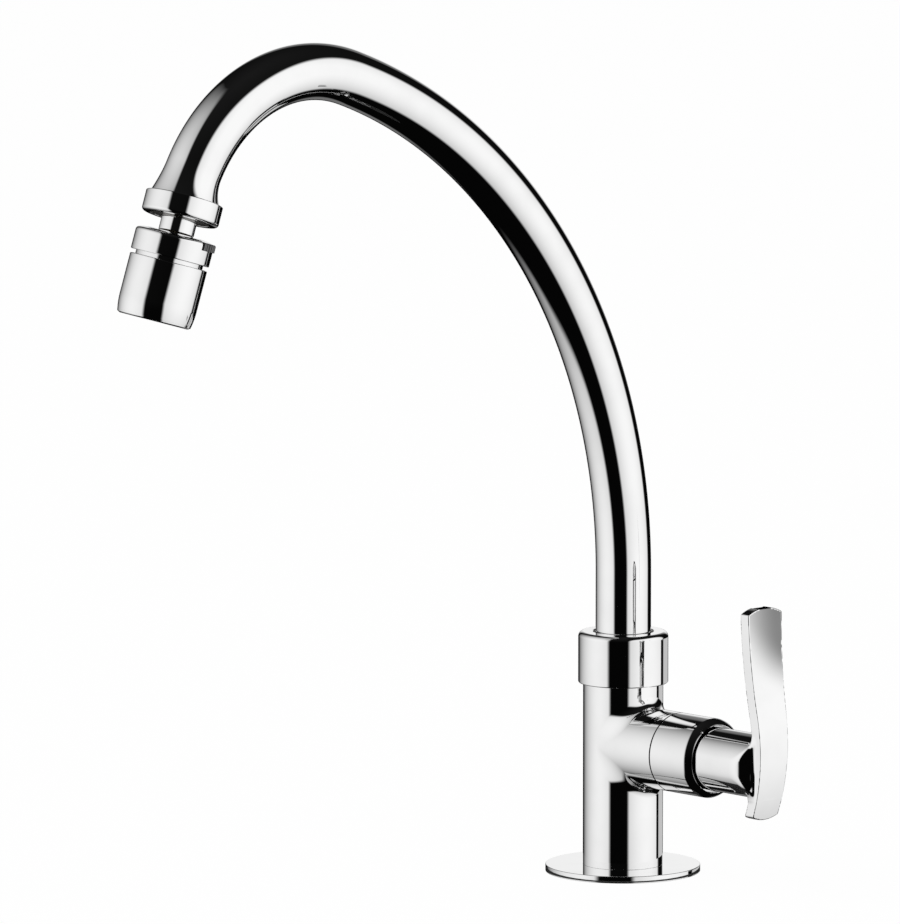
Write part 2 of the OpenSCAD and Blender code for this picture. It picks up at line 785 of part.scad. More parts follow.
// Where each O-ring lies on the tail
function tail_ring_z(i) = neck_top - tail_drop + tail_ring_low + i * tail_ring_pitch;

module spout_o_rings() {
    color(rubber) for (i = [0:1]) round_ring(tail_ring_floor_d + 2 * tail_ring_r + 0.04, tail_ring_r, tail_ring_z(i));
}

module spout_tube() {
    overlap_a = 0.3;
    color(chrome) {
        ring(tube_d, tube_bore_d, tube_foot_z, riser_top);
        translate([0, 0, riser_top]) tube_bend(arch_r, 0, arch_a, tube_wall);
        on_outlet() {
            tube_bend(hook_r, -hook_a - overlap_a, 0, tube_wall - bend_thinning);
            flare();
        }
    }
}

// Flared mouth: a hollow-sided skirt that sinks into the bent tube at its upper end
module flare() {
    slim_r = tube_mid_r - 0.6;
    swell = flare_d / 2 - slim_r;
    difference() {
        rotate_extrude() polygon(concat(
            [[0, 0], [0, -flare_len]],
            [for (k = [0:flare_steps])
                let (t = k / flare_steps)
                [slim_r + swell * pow(t, 1.6), flare_len * (t - 1)]]
        ));
        translate([0, -hook_r, 0]) rotate([90, 0, 90])
            rotate_extrude(angle = 30, start = -25, $fn = 180)
                translate([hook_r, 0]) circle(r = tube_mid_r);
    }
}

module spout_end_ring() {
    r = ring_d / 2;
    color(chrome) on_outlet() {
        rotate_extrude() polygon(concat(
            [[tail_bore_d / 2 - 0.5, -ring_spigot_h], [ring_spigot_d / 2, -ring_spigot_h], [ring_spigot_d / 2, 0],
             [r - ring_top_edge, 0], [r, ring_top_edge]],
            arc([r - ring_edge_r, ring_h - ring_edge_r], ring_edge_r, 0, 90, 6),
            [[ring_bore_d / 2, ring_h], [ring_bore_d / 2, ring_ceiling], [tail_bore_d / 2 - 0.5, ring_ceiling]]
        ));
    }
}

module stem_retainer() {
    color(brass) on_outlet()
        ring(ring_bore_d - 2 * thread_gap, neck_d + 2 * running_gap, retainer_top, retainer_low);
}

// ---- Swivel stem ----

module ball_stem() {
    groove_w = 2 * stem_ring_r + part_gap;
    color(chrome) on_outlet() difference() {
        union() {
            rod(stem_flange_d, flange_top, flange_low);
            rod(neck_d, flange_low - cut, ball_drop);
            translate([0, 0, ball_drop]) sphere(d = ball_d);
        }
        rod(stem_bore_d, flange_top - cut, ball_drop + ball_d);
        translate([0, 0, ball_drop + ball_cut]) cylinder(d = 2 * ball_d, h = ball_d);
        ring(stem_ring_track_d + groove_w, stem_ring_track_d - groove_w,
             flange_top - cut, ring_ceiling + 2 * stem_ring_r + seat_gap);
    }
}

module stem_o_ring() {
    color(rubber) on_outlet()
        round_ring(stem_ring_track_d, stem_ring_r, ring_ceiling + stem_ring_r + thread_gap);
}

module stem_washer() {
    color(nylon) on_outlet()
        ring(stem_flange_d, neck_d + 2 * running_gap, flange_low + seat_gap, flange_low + seat_gap + stem_washer_t);
}

// ---- Spray head: collar ----

module head_collar() {
    r = collar_d / 2;
    bore_r = collar_bore_d / 2;
    hole_r = dome_hole_d / 2;
    shoulder_z = -collar_rise + dome_h;
    lip_hole_r = sqrt(pow(ball_d / 2 + ball_gap, 2) - pow(lip_low, 2));
    color(chrome) on_head() difference() {
        rotate_extrude() polygon(concat(
            [[bore_r, collar_drop], [bore_r, lip_low], [lip_hole_r, lip_low], [hole_r, -collar_rise],
             [(hole_r + r) / 2, -collar_rise + dome_h / 3]],
            arc([r - shoulder_r, shoulder_z + shoulder_r], shoulder_r, -90, 0, 6),
            [[r, collar_drop - 0.3], [r - 0.3, collar_drop]]
        ));
        round_groove(collar_bore_d, snap_ring_r, snap_ring_z);
        grip_sector(r - grip_root - part_gap, r + cut, grip_a + 1, -grip_rise - part_gap, grip_h + 2 * part_gap);
    }
}

// Square groove, cut where a snap ring lies across a joint of the given diameter
module round_groove(joint_d, section_r, z) {
    w = section_r + seat_gap;
    ring(joint_d + 2 * w, joint_d - 2 * w, z - w, z + w);
}

// Sector of a ring, centred on the grip's direction
module grip_sector(r0, r1, angle, z0, h) {
    rotate([0, 0, grip_dir - angle / 2])
        translate([0, 0, z0]) rotate_extrude(angle = angle) translate([r0, 0]) square([r1 - r0, h]);
}

module ball_seat() {
    color(nylon) on_head() difference() {
        rod(collar_bore_d - 2 * running_gap, lip_low + seat_gap, seat_low);
        sphere(d = ball_d + 2 * ball_gap);
    }
}

module grip_tab() {
    r = collar_d / 2;
    rib_a = (grip_a - 1) / (2 * grip_ribs - 1);
    color(chrome) on_head() {
        grip_sector(r - grip_root, r + grip_proud / 2, grip_a, -grip_rise, grip_h);
        for (i = [0:grip_ribs - 1])
            rotate([0, 0, (2 * i - grip_ribs + 1) * rib_a])
                grip_sector(r - part_gap, r + grip_proud, rib_a, part_gap - grip_rise, grip_h - 2 * part_gap);
    }
}

module snap_ring() {
    color(steel) on_head() round_ring(collar_bore_d, snap_ring_r, snap_ring_z);
}

// ---- Spray head: barrel and aerator ----

module barrel() {
    r = barrel_d / 2;
    rim_r = rim_d / 2;
    inset = r - rim_r;
    taper_r = (barrel_taper_len * barrel_taper_len + inset * inset) / (2 * inset);
    taper_a = asin(barrel_taper_len / taper_r);
    edge = 0.4;
    color(chrome) on_head() difference() {
        rotate_extrude() polygon(concat(
            [[barrel_neck_bore_d / 2, barrel_top], [barrel_neck_d / 2, barrel_top],
             [barrel_neck_d / 2, barrel_x], [r - edge, barrel_x], [r, barrel_x + edge]],
            arc([r - taper_r, barrel_end - barrel_taper_len], taper_r, 0, taper_a, 8),
            [[barrel_bore_d / 2 + edge, barrel_end], [barrel_bore_d / 2, barrel_end - edge],
             [barrel_bore_d / 2, chamber_top], [shoulder_hole_d / 2, chamber_top],
             [shoulder_hole_d / 2, shoulder_top], [barrel_neck_bore_d / 2, shoulder_top]]
        ));
        round_groove(collar_bore_d, snap_ring_r, snap_ring_z);
    }
}

module ball_seal() {
    color(rubber) on_head() difference() {
        rod(barrel_neck_bore_d - part_gap, seal_top, seal_low);
        sphere(d = ball_d + 2 * ball_gap);
        rod(ball_d * 0.75, seal_top, seal_low + cut);
    }
}

module aerator_washer() {
    z = chamber_top + seat_gap;
    color(rubber) on_head() ring(aerator_d, shoulder_hole_d, z, z + aerator_washer_t);
}

// Holes in rings about the axis, six more in each ring than in the one inside it
module hole_rings(rings, pitch, hole_d, z0, z1) {
    rod(hole_d, z0, z1);
    for (k = [1:rings], i = [0:6 * k - 1])
        rotate([0, 0, 60 * i / k]) translate([k * pitch, 0, 0]) rod(hole_d, z0, z1);
}

module flow_regulator() {
    color(black_plastic) on_head() difference() {
        rod(aerator_d, regulator_top, regulator_top + regulator_t);
        hole_rings(1, 4.6, 2.6, regulator_top - cut, regulator_top + regulator_t + cut);
    }
}

module aerator_cage() {
    slots = 8;
    slot_w = 2.4;
    wall = 1.4;
    color(nylon) on_head() difference() {
        ring(aerator_d, aerator_d - 2 * wall, cage_top, plate_top - part_gap);
        for (i = [0:slots / 2 - 1])
            rotate([0, 0, 360 * i / slots])
                translate([-aerator_d, -slot_w / 2, cage_top + wall]) cube([2 * aerator_d, slot_w, slot_w]);
    }
}

module aerator_screens() {
    screen_t = 0.5;
    screen_d = aerator_d - 3.2;
    color(steel) on_head() for (i = [0:1]) {
        z = plate_top - 2.2 + i * 1.2;
        difference() {
            rod(screen_d, z, z + screen_t);
            hole_rings(2, 3, 1.8, z - cut, z + screen_t + cut);
        }
    }
}

module spray_plate() {
    color(black_plastic) on_head() difference() {
        rod(aerator_d, plate_top, plate_low);
        hole_rings(3, 2.7, 1.3, plate_top - cut, plate_low + cut);
    }
}

// ---- Assembly ----

escutcheon();
deck_gasket();
base_o_ring();
body();
inlet_shank();
clamp_gasket();
clamp_washer();
lock_nut();
spout_nut();
thrust_washer();
slip_ring();
cartridge_housing();
cartridge_gasket();
seat_seal();
fixed_disc();
bonnet_sleeve();
spindle();
moving_disc();
spindle_washer();
spindle_o_rings();
spindle_clip();
lever();
spline_insert();
set_screw();
spout_tube();
spout_tail();
spout_o_rings();
spout_end_ring();
stem_retainer();
ball_stem();
stem_o_ring();
stem_washer();
head_collar();
ball_seat();
grip_tab();
snap_ring();
barrel();
ball_seal();
aerator_washer();
flow_regulator();
aerator_cage();
aerator_screens();
spray_plate();
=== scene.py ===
"""Looks of the gooseneck bar faucet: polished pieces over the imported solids, a pale studio and the camera."""
import json
import math

import bpy
import numpy as np
from mathutils import Matrix, Vector

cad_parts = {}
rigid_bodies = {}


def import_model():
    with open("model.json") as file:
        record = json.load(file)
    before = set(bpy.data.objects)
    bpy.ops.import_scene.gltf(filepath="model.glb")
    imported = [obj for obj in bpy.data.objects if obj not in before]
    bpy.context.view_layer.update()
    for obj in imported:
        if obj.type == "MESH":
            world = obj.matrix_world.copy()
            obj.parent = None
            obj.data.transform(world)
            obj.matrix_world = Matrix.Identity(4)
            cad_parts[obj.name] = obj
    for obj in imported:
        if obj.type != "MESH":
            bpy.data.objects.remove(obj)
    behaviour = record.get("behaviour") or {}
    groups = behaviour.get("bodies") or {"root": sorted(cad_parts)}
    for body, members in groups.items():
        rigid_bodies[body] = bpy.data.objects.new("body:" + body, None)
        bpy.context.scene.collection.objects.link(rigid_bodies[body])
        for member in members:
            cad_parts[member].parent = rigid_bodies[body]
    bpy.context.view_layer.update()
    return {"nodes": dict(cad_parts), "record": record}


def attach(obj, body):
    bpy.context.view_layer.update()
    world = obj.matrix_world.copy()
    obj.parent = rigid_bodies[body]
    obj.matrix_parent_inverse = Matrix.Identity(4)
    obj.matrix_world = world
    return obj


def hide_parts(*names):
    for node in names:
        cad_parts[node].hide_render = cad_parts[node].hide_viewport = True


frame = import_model()
MM = 0.001

# ---------------------------------------------------------------- sizes, in millimetres

# base disc, with the recess of its gasket
DISC_R, DISC_T = 26.7, 2.4
RECESS_IN_R, RECESS_OUT_R, RECESS_T = 16.0, 23.75, 1.2
# threaded shank below the deck
SHANK_R, SHANK_HOLE_R, SHANK_BORE_R, SHANK_DROP, SHANK_TOP = 10.48, 10.8, 6.0, 52.0, 17.0
THREAD_ROOT_R, THREAD_PITCH, RIDGE_R = 9.35, 1.814, 0.78
# upright body, with its neck and the spout's socket
BODY_R, BODY_TOP, NECK_R, NECK_TOP = 13.8, 65.7, 12.7, 76.0
SOCKET_R, SOCKET_LOW, FOOT_EDGE, SHOULDER_EDGE = 10.02, 57.0, 0.12, 0.2
# side branch; its fillet into the body grows from TEE_FILLET by TEE_SWEEP towards the branch's sides
BRANCH_R, BRANCH_Z, BRANCH_END, BRANCH_EDGE = 13.7, 44.5, 27.4, 0.26
BORE_R, BORE_LOW = 10.5, 8.0
TEE_FILLET, TEE_SWEEP, TEE_FADE = 4.0, 16.0, 6
# nut at the spout's foot
NUT_R, NUT_LOW, NUT_TOP, NUT_EDGE = 15.5, 65.75, 83.55, 1.8
NUT_CUP_R, NUT_HOLE_R, NUT_LIP = 12.8, 10.3, 2.6
# sleeve on the branch, along the valve's axis; its bevel is a shallow arc
SLEEVE_LOW, SLEEVE_END, SLEEVE_BORE_R, MOUTH_R = 27.55, 46.4, 12.25, 11.6
WEB_LOW, WEB_TOP, WEB_HOLE_R = 35.1, 37.3, 7.6
BEVEL_LOW, BEVEL_CENTRE, BEVEL_R, BEVEL_FROM, BEVEL_TO = 43.8, (8.19, 41.695), 5.9, 20.9, 52.9
# lever: hub, blade and set screw, from the valve's axis
HUB_R, HUB_LOW, SIDE_R, SIDE_X = 10.9, 38.5, 9.1, 63.2
LEVER_REACH, BULGE_RISE, BULGE_R, HOLLOW_R, HOLLOW_TURN, BLADE_T = 74.5, 6.1, 65.0, 200.0, 10.8, 4.0
LEVER_UP, LEVER_DOWN, TIP_W, LOW_W, TIP_CROWN, LOW_CROWN = 54.9, 18.1, 16.1, 11.7, 2.1, 1.4
SCREW_X, SCREW_R = 48.65, 2.05
# spout: riser, long arch, tight hook, and the flare at its mouth
TUBE_R, RISER_LEN, ARCH_R, ARCH_A, HOOK_R, HOOK_A = 9.525, 20.6, 189.8, 70.7, 56.8, 90.1
RISER_TOP, TUBE_SUNK = NUT_TOP + RISER_LEN, 4.6
FLARE_R, FLARE_LEN, FLARE_POWER = 11.6, 10.0, 2.0
# ring at the mouth, along the outlet's axis
RING_R, RING_H, RING_BORE_R, RING_HOLE_R, RING_WEB = 13.0, 7.1, 10.0, 5.5, 1.6
SPIGOT_R, SPIGOT_TOP = 8.225, -4.0
# neck and ball, along the outlet's axis
BALL_DROP, BALL_R, BALL_CUT, STEM_R, STEM_BORE_R = 18.6, 9.0, 5.6, 5.95, 3.5
FLANGE_R, FLANGE_TOP, FLANGE_LOW = 9.3, 1.95, 4.6
# spray head, along its own axis from the ball's centre
HEAD_LEAN, LEAN_DIR = 5.6, -51.0
COLLAR_R, COLLAR_LOW, COLLAR_TOP, CAP_BORE_R, CAP_ROOF, CAP_HOLE_R = 13.25, 1.7, -5.75, 11.4, -4.85, 7.63
CAP_LIP, CAP_CREST = (8.4, -6.6), (10.8, -6.32)
BARREL_R, RIM_R, BARREL_TOP, BARREL_LOW, BARREL_TAPER = 13.05, 12.3, 3.0, 23.2, 6.3
SPRAY_NECK_R, SPRAY_NECK_TOP, SPRAY_STEP_R, SPRAY_BORE_R = 9.6, -0.4, 11.35, 10.6
SEAT_R, SEAT_TOP, SEAT_LOW = 8.0, 6.2, 7.4
GRIP_DIR, GRIP_A, GRIP_PROUD, GRIP_TOP, GRIP_LOW, RIB_COUNT, RIB_R = -30.0, 48.0, 0.6, -5.9, -3.2, 7, 0.55
PLATE_R, PLATE_TOP, PLATE_LOW = 10.5, BARREL_LOW - 3.4, BARREL_LOW - 1.7
HOLE_R, HOLE_PITCH, HOLE_RINGS = 0.65, 2.7, 3


def rad(a):
    return math.radians(a)


def add_object(name, data):
    obj = bpy.data.objects.new(name, data)
    bpy.context.scene.collection.objects.link(obj)
    return obj


def feed(tree, socket, source):
    """Gives a socket a link, or a plain value."""
    if isinstance(source, bpy.types.NodeSocket):
        tree.links.new(source, socket)
    else:
        socket.default_value = source


def maths(tree, operation, a, b=0.0, clamp=False):
    node = tree.nodes.new("ShaderNodeMath")
    node.operation = operation
    node.use_clamp = clamp
    feed(tree, node.inputs[0], a)
    feed(tree, node.inputs[1], b)
    return node.outputs[0]


# ---------------------------------------------------------------- places along the water's way

def outlet_place():
    """Place of the spout's outlet: local +Z runs the way the water leaves."""
    bend = ARCH_A + HOOK_A
    y = -ARCH_R * (1 - math.cos(rad(ARCH_A))) - HOOK_R * (math.cos(rad(ARCH_A)) - math.cos(rad(bend)))
    z = RISER_TOP + ARCH_R * math.sin(rad(ARCH_A)) + HOOK_R * (math.sin(rad(bend)) - math.sin(rad(ARCH_A)))
    return Matrix.Translation((0, y, z)) @ Matrix.Rotation(rad(bend), 4, "X")


UPRIGHT = Matrix.Identity(4)
ON_VALVE = Matrix.Translation((0, 0, BRANCH_Z)) @ Matrix.Rotation(rad(90), 4, "Y")
ON_OUTLET = outlet_place()
LEAN_AXIS = Vector((math.cos(rad(LEAN_DIR)), math.sin(rad(LEAN_DIR)), 0))
ON_HEAD = ON_OUTLET @ Matrix.Translation((0, 0, BALL_DROP)) @ Matrix.Rotation(rad(HEAD_LEAN), 4, LEAN_AXIS)


# ---------------------------------------------------------------- surfaces with exact normals

class Skin:
    """Faces with a normal at each corner; corners at one place are welded when the mesh is made."""

    def __init__(self):
        self.points, self.normals = [], []

    def grid(self, p, n, flip=False):
        """p and n are (rows, columns, 3) arrays of places and normals."""
        a, b, c, d = p[:-1, :-1], p[:-1, 1:], p[1:, 1:], p[1:, :-1]
        e, f, g, h = n[:-1, :-1], n[:-1, 1:], n[1:, 1:], n[1:, :-1]
        order = (a, d, c, b) if flip else (a, b, c, d)
        turned = (e, h, g, f) if flip else (e, f, g, h)
        self.points.append(np.stack(order, 2).reshape(-1, 4, 3))
        self.normals.append(np.stack(turned, 2).reshape(-1, 4, 3))

    def mesh(self, name, place=UPRIGHT):
        points, normals = np.concatenate(self.points), np.concatenate(self.normals)
        turn = np.array(place.to_3x3())
        points = points @ turn.T + np.array(place.translation)
        normals = normals @ turn.T
        flat = np.round(points.reshape(-1, 3), 5)
        unique, index = np.unique(flat, axis=0, return_inverse=True)
        index = index.reshape(-1, 4)
        faces, corners = [], []
        for face, n in zip(index.tolist(), normals):
            keep = [k for k in range(4) if face[k] != face[k - 1]]
            if len(keep) >= 3 and len({face[k] for k in keep}) == len(keep):
                faces.append([face[k] for k in keep])
                corners.extend(n[k] for k in keep)
        data = bpy.data.meshes.new(name)
        data.from_pydata((unique * MM).tolist(), [], faces)
        data.update()
        data.shade_smooth()
        corners = np.array(corners)
        corners /= np.maximum(np.linalg.norm(corners, axis=1, keepdims=True), 1e-9)
        data.normals_split_custom_set(corners.tolist())
        return add_object(name, data)


def line(p, q):
    """One straight stretch of an outline, as two places and two normals, solid on its left."""
    d = np.array(q, float) - np.array(p, float)
    n = np.array([d[1], -d[0]]) / max(np.hypot(*d), 1e-9)
    return [(np.array(p, float), n), (np.array(q, float), n)]


def arc(centre, r, a0, a1, steps=24, hollow=False):
    """An arc of an outline; hollow turns its normals towards the centre."""
    out = []
    for a in np.linspace(rad(a0), rad(a1), steps + 1):
        n = np.array([math.cos(a), math.sin(a)])
        out.append((np.array(centre, float) + r * n, -n if hollow else n))
    return out


def outline(corners, closed=True, steps=7):
    """Stretches of an outline through corners (r, z) or (r, z, rounding), solid on its left."""
    count = len(corners)
    spots = []
    for i, c in enumerate(corners):
        b = np.array(c[:2], float)
        round_r = c[2] if len(c) > 2 else 0
        if not round_r or (not closed and i in (0, count - 1)):
            spots.append((b, b, None))
            continue
        u = b - np.array(corners[i - 1][:2], float)
        v = np.array(corners[(i + 1) % count][:2], float) - b
        u, v = u / np.hypot(*u), v / np.hypot(*v)
        turn = math.atan2(u[0] * v[1] - u[1] * v[0], float(u @ v))
        cut = round_r * math.tan(abs(turn) / 2)
        side = math.copysign(1, turn)
        start = b - u * cut
        centre = start + side * round_r * np.array([-u[1], u[0]])
        a0 = math.atan2(*(start - centre)[::-1])
        bend = []
        for k in range(steps + 1):
            a = a0 + turn * k / steps
            n = np.array([math.cos(a), math.sin(a)])
            bend.append((centre + round_r * n, n * side))
        spots.append((start, b + v * cut, bend))
    runs = []
    for i in range(count):
        if spots[i][2]:
            runs.append(spots[i][2])
        if closed or i < count - 1:
            runs.append(line(spots[i][1], spots[(i + 1) % count][0]))
    return runs


def turn_outline(skin, runs, angles):
    """Turns the stretches of an outline about +Z, through the given angles."""
    ca, sa = np.cos(angles)[:, None], np.sin(angles)[:, None]
    for run in runs:
        r = np.array([p[0] for p, _ in run])[None, :]
        z = np.array([p[1] for p, _ in run])[None, :]
        nr = np.array([n[0] for _, n in run])[None, :]
        nz = np.array([n[1] for _, n in run])[None, :]
        p = np.stack([r * ca, r * sa, z + 0 * ca], 2)
        n = np.stack([nr * ca, nr * sa, nz + 0 * ca], 2)
        skin.grid(p, n, flip=True)


def turned(name, runs, place=UPRIGHT, sides=256):
    """A turned piece: an outline spun about an axis."""
    skin = Skin()
    turn_outline(skin, runs, np.linspace(0, 2 * math.pi, sides + 1))
    return skin.mesh(name, place)


# ---------------------------------------------------------------- Geometry Nodes helpers

class Tree:
    """A Geometry Nodes tree with named inputs, for shapes that repeat or follow a path."""

    def __init__(self, name, **inputs):
        self.group = bpy.data.node_groups.new(name, "GeometryNodeTree")
        face = self.group.interface
        face.new_socket("Geometry", in_out="INPUT", socket_type="NodeSocketGeometry")
        self.ids = {}
        for key, value in inputs.items():
            kind = {int: "NodeSocketInt", float: "NodeSocketFloat"}.get(type(value), "NodeSocketMaterial")
            socket = face.new_socket(key, in_out="INPUT", socket_type=kind)
            self.ids[key] = (socket.identifier, value)
        face.new_socket("Geometry", in_out="OUTPUT", socket_type="NodeSocketGeometry")
        self.start = self.group.nodes.new("NodeGroupInput")
        self.end = self.group.nodes.new("NodeGroupOutput")

    def node(self, kind, links=None):
        made = self.group.nodes.new(kind)
        for socket, source in (links or {}).items():
            feed(self.group, made.inputs[socket], source)
        return made

    def join(self, *geometries):
        made = self.group.nodes.new("GeometryNodeJoinGeometry")
        for geometry in geometries:
            self.group.links.new(geometry, made.inputs[0])
        return made.outputs[0]

    def value(self, key):
        return self.start.outputs[key]

    def maths(self, operation, a, b=0.0):
        return maths(self.group, operation, a, b)

    def finish(self, geometry):
        real = self.node("GeometryNodeRealizeInstances", {"Geometry": geometry})
        coat = self.node("GeometryNodeSetMaterial", {"Geometry": real.outputs[0], "Material": self.value("Finish")})
        self.group.links.new(coat.outputs[0], self.end.inputs[0])

    def make(self, obj, name):
        """Runs the tree on obj and returns its result as a plain mesh object at the origin."""
        modifier = obj.modifiers.new("shape", "NODES")
        modifier.node_group = self.group
        for identifier, value in self.ids.values():
            modifier[identifier] = value
        bpy.context.view_layer.update()
        graph = bpy.context.evaluated_depsgraph_get()
        data = bpy.data.meshes.new_from_object(obj.evaluated_get(graph), preserve_all_data_layers=True,
                                               depsgraph=graph)
        data.name = name
        obj.modifiers.remove(modifier)
        bpy.data.objects.remove(obj)
        return add_object(name, data)


def settle(obj, place):
    """Moves a finished mesh to its place, in millimetres' frame, and keeps the object at the origin."""
    obj.data.transform(Matrix.Translation(place.translation * MM) @ place.to_3x3().to_4x4())
    obj.data.update()
    return obj


def path_object(name, points):
    """A curve of one open run through points in millimetres, for a tree to follow."""
    data = bpy.data.curves.new(name, "CURVE")
    data.dimensions = "3D"
    run = data.splines.new("POLY")
    run.points.add(len(points) - 1)
    for spot, p in zip(run.points, points):
        spot.co = (p[0] * MM, p[1] * MM, p[2] * MM, 1)
    return add_object(name, data)


# ---------------------------------------------------------------- finishes

def colour_group(name, **inputs):
    """A shader group that puts out a colour, a roughness and a height; its inputs are colours and numbers."""
    group = bpy.data.node_groups.new(name, "ShaderNodeTree")
    for key, value in inputs.items():
        kind = "NodeSocketColor" if isinstance(value, tuple) else "NodeSocketFloat"
        group.interface.new_socket(key, in_out="INPUT", socket_type=kind).default_value = value
    for key, kind in (("Colour", "NodeSocketColor"), ("Roughness", "NodeSocketFloat"), ("Height", "NodeSocketFloat")):
        group.interface.new_socket(key, in_out="OUTPUT", socket_type=kind)
    return group, group.nodes.new("NodeGroupInput"), group.nodes.new("NodeGroupOutput")


def noise(group, vector, scale, detail=2.0):
    node = group.nodes.new("ShaderNodeTexNoise")
    node.inputs["Detail"].default_value = detail
    feed(group, node.inputs["Scale"], scale)
    group.links.new(vector, node.inputs["Vector"])
    return node.outputs["Fac"]


def blend_colours(group, fac, a, b):
    node = group.nodes.new("ShaderNodeMix")
    node.data_type = "RGBA"
    for number, source in ((0, fac), (6, a), (7, b)):
        feed(group, node.inputs[number], source)
    return node.outputs[2]


def polish_haze():
    """Faint wiping haze and water spots on a polished surface: colour, roughness and height."""
    group, start, end = colour_group("polish_haze", Clean=(0.9, 0.9, 0.9, 1), Hazed=(0.8, 0.8, 0.8, 1),
                                     Roughness=0.02, Haze=0.03, Scale=60.0)
    place = group.nodes.new("ShaderNodeTexCoord").outputs["Object"]
    cloud = noise(group, place, start.outputs["Scale"], 4.0)
    fine = noise(group, place, maths(group, "MULTIPLY", start.outputs["Scale"], 22.0), 2.0)
    veil = maths(group, "MULTIPLY", maths(group, "SUBTRACT", cloud, 0.42, True), 2.4, True)
    veil = maths(group, "MULTIPLY", veil, maths(group, "ADD", fine, 0.45, True), True)
    colour = blend_colours(group, veil, start.outputs["Clean"], start.outputs["Hazed"])
    group.links.new(colour, end.inputs["Colour"])
    rough = maths(group, "ADD", start.outputs["Roughness"], maths(group, "MULTIPLY", veil, start.outputs["Haze"]))
    group.links.new(rough, end.inputs["Roughness"])
    group.links.new(cloud, end.inputs["Height"])
    return group


def fine_grain():
    """Speckled grain of moulded, cast and machined surfaces: colour, roughness and height."""
    group, start, end = colour_group("fine_grain", Base=(0.5, 0.5, 0.5, 1), Worn=(0.4, 0.4, 0.4, 1),
                                     Roughness=0.5, Spread=0.2, Scale=900.0)
    place = group.nodes.new("ShaderNodeTexCoord").outputs["Object"]
    speck = noise(group, place, start.outputs["Scale"], 3.0)
    broad = noise(group, place, maths(group, "MULTIPLY", start.outputs["Scale"], 0.12), 3.0)
    mix = maths(group, "MULTIPLY", maths(group, "ADD", speck, broad), 0.5, True)
    colour = blend_colours(group, mix, start.outputs["Base"], start.outputs["Worn"])
    group.links.new(colour, end.inputs["Colour"])
    rough = maths(group, "MULTIPLY", maths(group, "SUBTRACT", mix, 0.5), start.outputs["Spread"])
    group.links.new(maths(group, "ADD", start.outputs["Roughness"], rough, True), end.inputs["Roughness"])
    group.links.new(speck, end.inputs["Height"])
    return group


POLISH = polish_haze()
GRAIN = fine_grain()


def finish(name, group, bump=0.0, bump_mm=0.002, metal=0.0, **values):
    """A material: the group's colour, roughness and height drive one Principled shader."""
    made = bpy.data.materials.new(name)
    made.use_nodes = True
    tree = made.node_tree
    shader = tree.nodes["Principled BSDF"]
    shader.inputs["Metallic"].default_value = metal
    effect = tree.nodes.new("ShaderNodeGroup")
    effect.node_tree = group
    for key, value in values.items():
        effect.inputs[key].default_value = value
    tree.links.new(effect.outputs["Colour"], shader.inputs["Base Color"])
    tree.links.new(effect.outputs["Roughness"], shader.inputs["Roughness"])
    if bump:
        relief = tree.nodes.new("ShaderNodeBump")
        relief.inputs["Strength"].default_value = bump
        relief.inputs["Distance"].default_value = bump_mm * MM
        tree.links.new(effect.outputs["Height"], relief.inputs["Height"])
        tree.links.new(relief.outputs["Normal"], shader.inputs["Normal"])
    return made


def grey(level):
    return (level, level, level, 1)


CHROME = finish("polished_chrome", POLISH, metal=1.0, Clean=grey(0.94), Hazed=grey(0.88),
                Roughness=0.012, Haze=0.03, Scale=70.0)
# the polished chrome darkened to 0.15 for the grip's ribs: painted shade, a dim copy of the chrome above
PAINTED_SHADE_CHROME = finish("chrome_painted_shade", POLISH, metal=1.0, Clean=grey(0.15), Hazed=grey(0.11),
                       Roughness=0.012, Haze=0.03, Scale=70.0)
BRASS = finish("machined_brass", GRAIN, bump=0.15, metal=1.0, Base=(0.80, 0.62, 0.30, 1),
               Worn=(0.66, 0.49, 0.22, 1), Roughness=0.28, Spread=0.25, Scale=700.0)
# brass darkened to near black for the stem retainer: painted shade of the outlet ring's mouth, not a finish of the part
PAINTED_SHADE_BRASS = finish("brass_painted_shade", GRAIN, bump=0.15, metal=1.0, Base=(0.030, 0.026, 0.018, 1),
                      Worn=(0.055, 0.045, 0.028, 1), Roughness=0.35, Spread=0.25, Scale=700.0)
STEEL = finish("stainless_steel", GRAIN, bump=0.15, metal=1.0, Base=(0.66, 0.67, 0.69, 1),
               Worn=(0.52, 0.53, 0.55, 1), Roughness=0.3, Spread=0.25, Scale=800.0)
RUBBER = finish("black_rubber", GRAIN, bump=0.4, Base=(0.022, 0.022, 0.024, 1),
                Worn=(0.045, 0.045, 0.046, 1), Roughness=0.62, Spread=0.2, Scale=1100.0)
NYLON = finish("white_nylon", GRAIN, bump=0.2, Base=(0.80, 0.80, 0.77, 1),
               Worn=(0.72, 0.72, 0.68, 1), Roughness=0.42, Spread=0.2, Scale=900.0)
CERAMIC = finish("lapped_ceramic", GRAIN, bump=0.05, Base=(0.86, 0.85, 0.81, 1),
                 Worn=(0.80, 0.79, 0.75, 1), Roughness=0.16, Spread=0.1, Scale=1500.0)
BLACK = finish("black_plastic", GRAIN, bump=0.25, Base=(0.008, 0.008, 0.009, 1),
               Worn=(0.016, 0.016, 0.018, 1), Roughness=0.3, Spread=0.2, Scale=1300.0)

FINISH_OF = {"polished_chrome": CHROME, "raw_brass": BRASS, "stainless_steel": STEEL, "black_rubber": RUBBER,
             "white_nylon": NYLON, "white_ceramic": CERAMIC, "black_plastic": BLACK}
SLOT_OF = {s["node"]: s["material_slot"] for s in frame["record"]["subparts"]}
BODY_OF = {n: b for b, nodes in frame["record"]["behaviour"]["bodies"].items() for n in nodes}


def dress(obj, node, finish_made=None):
    """Gives a piece its finish, lets it stand for its node and ride on that node's body."""
    slot = SLOT_OF[node]
    obj.data.materials.clear()
    obj.data.materials.append(finish_made or FINISH_OF[slot])
    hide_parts(node)
    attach(obj, BODY_OF[node])
    return obj


# ---------------------------------------------------------------- pieces

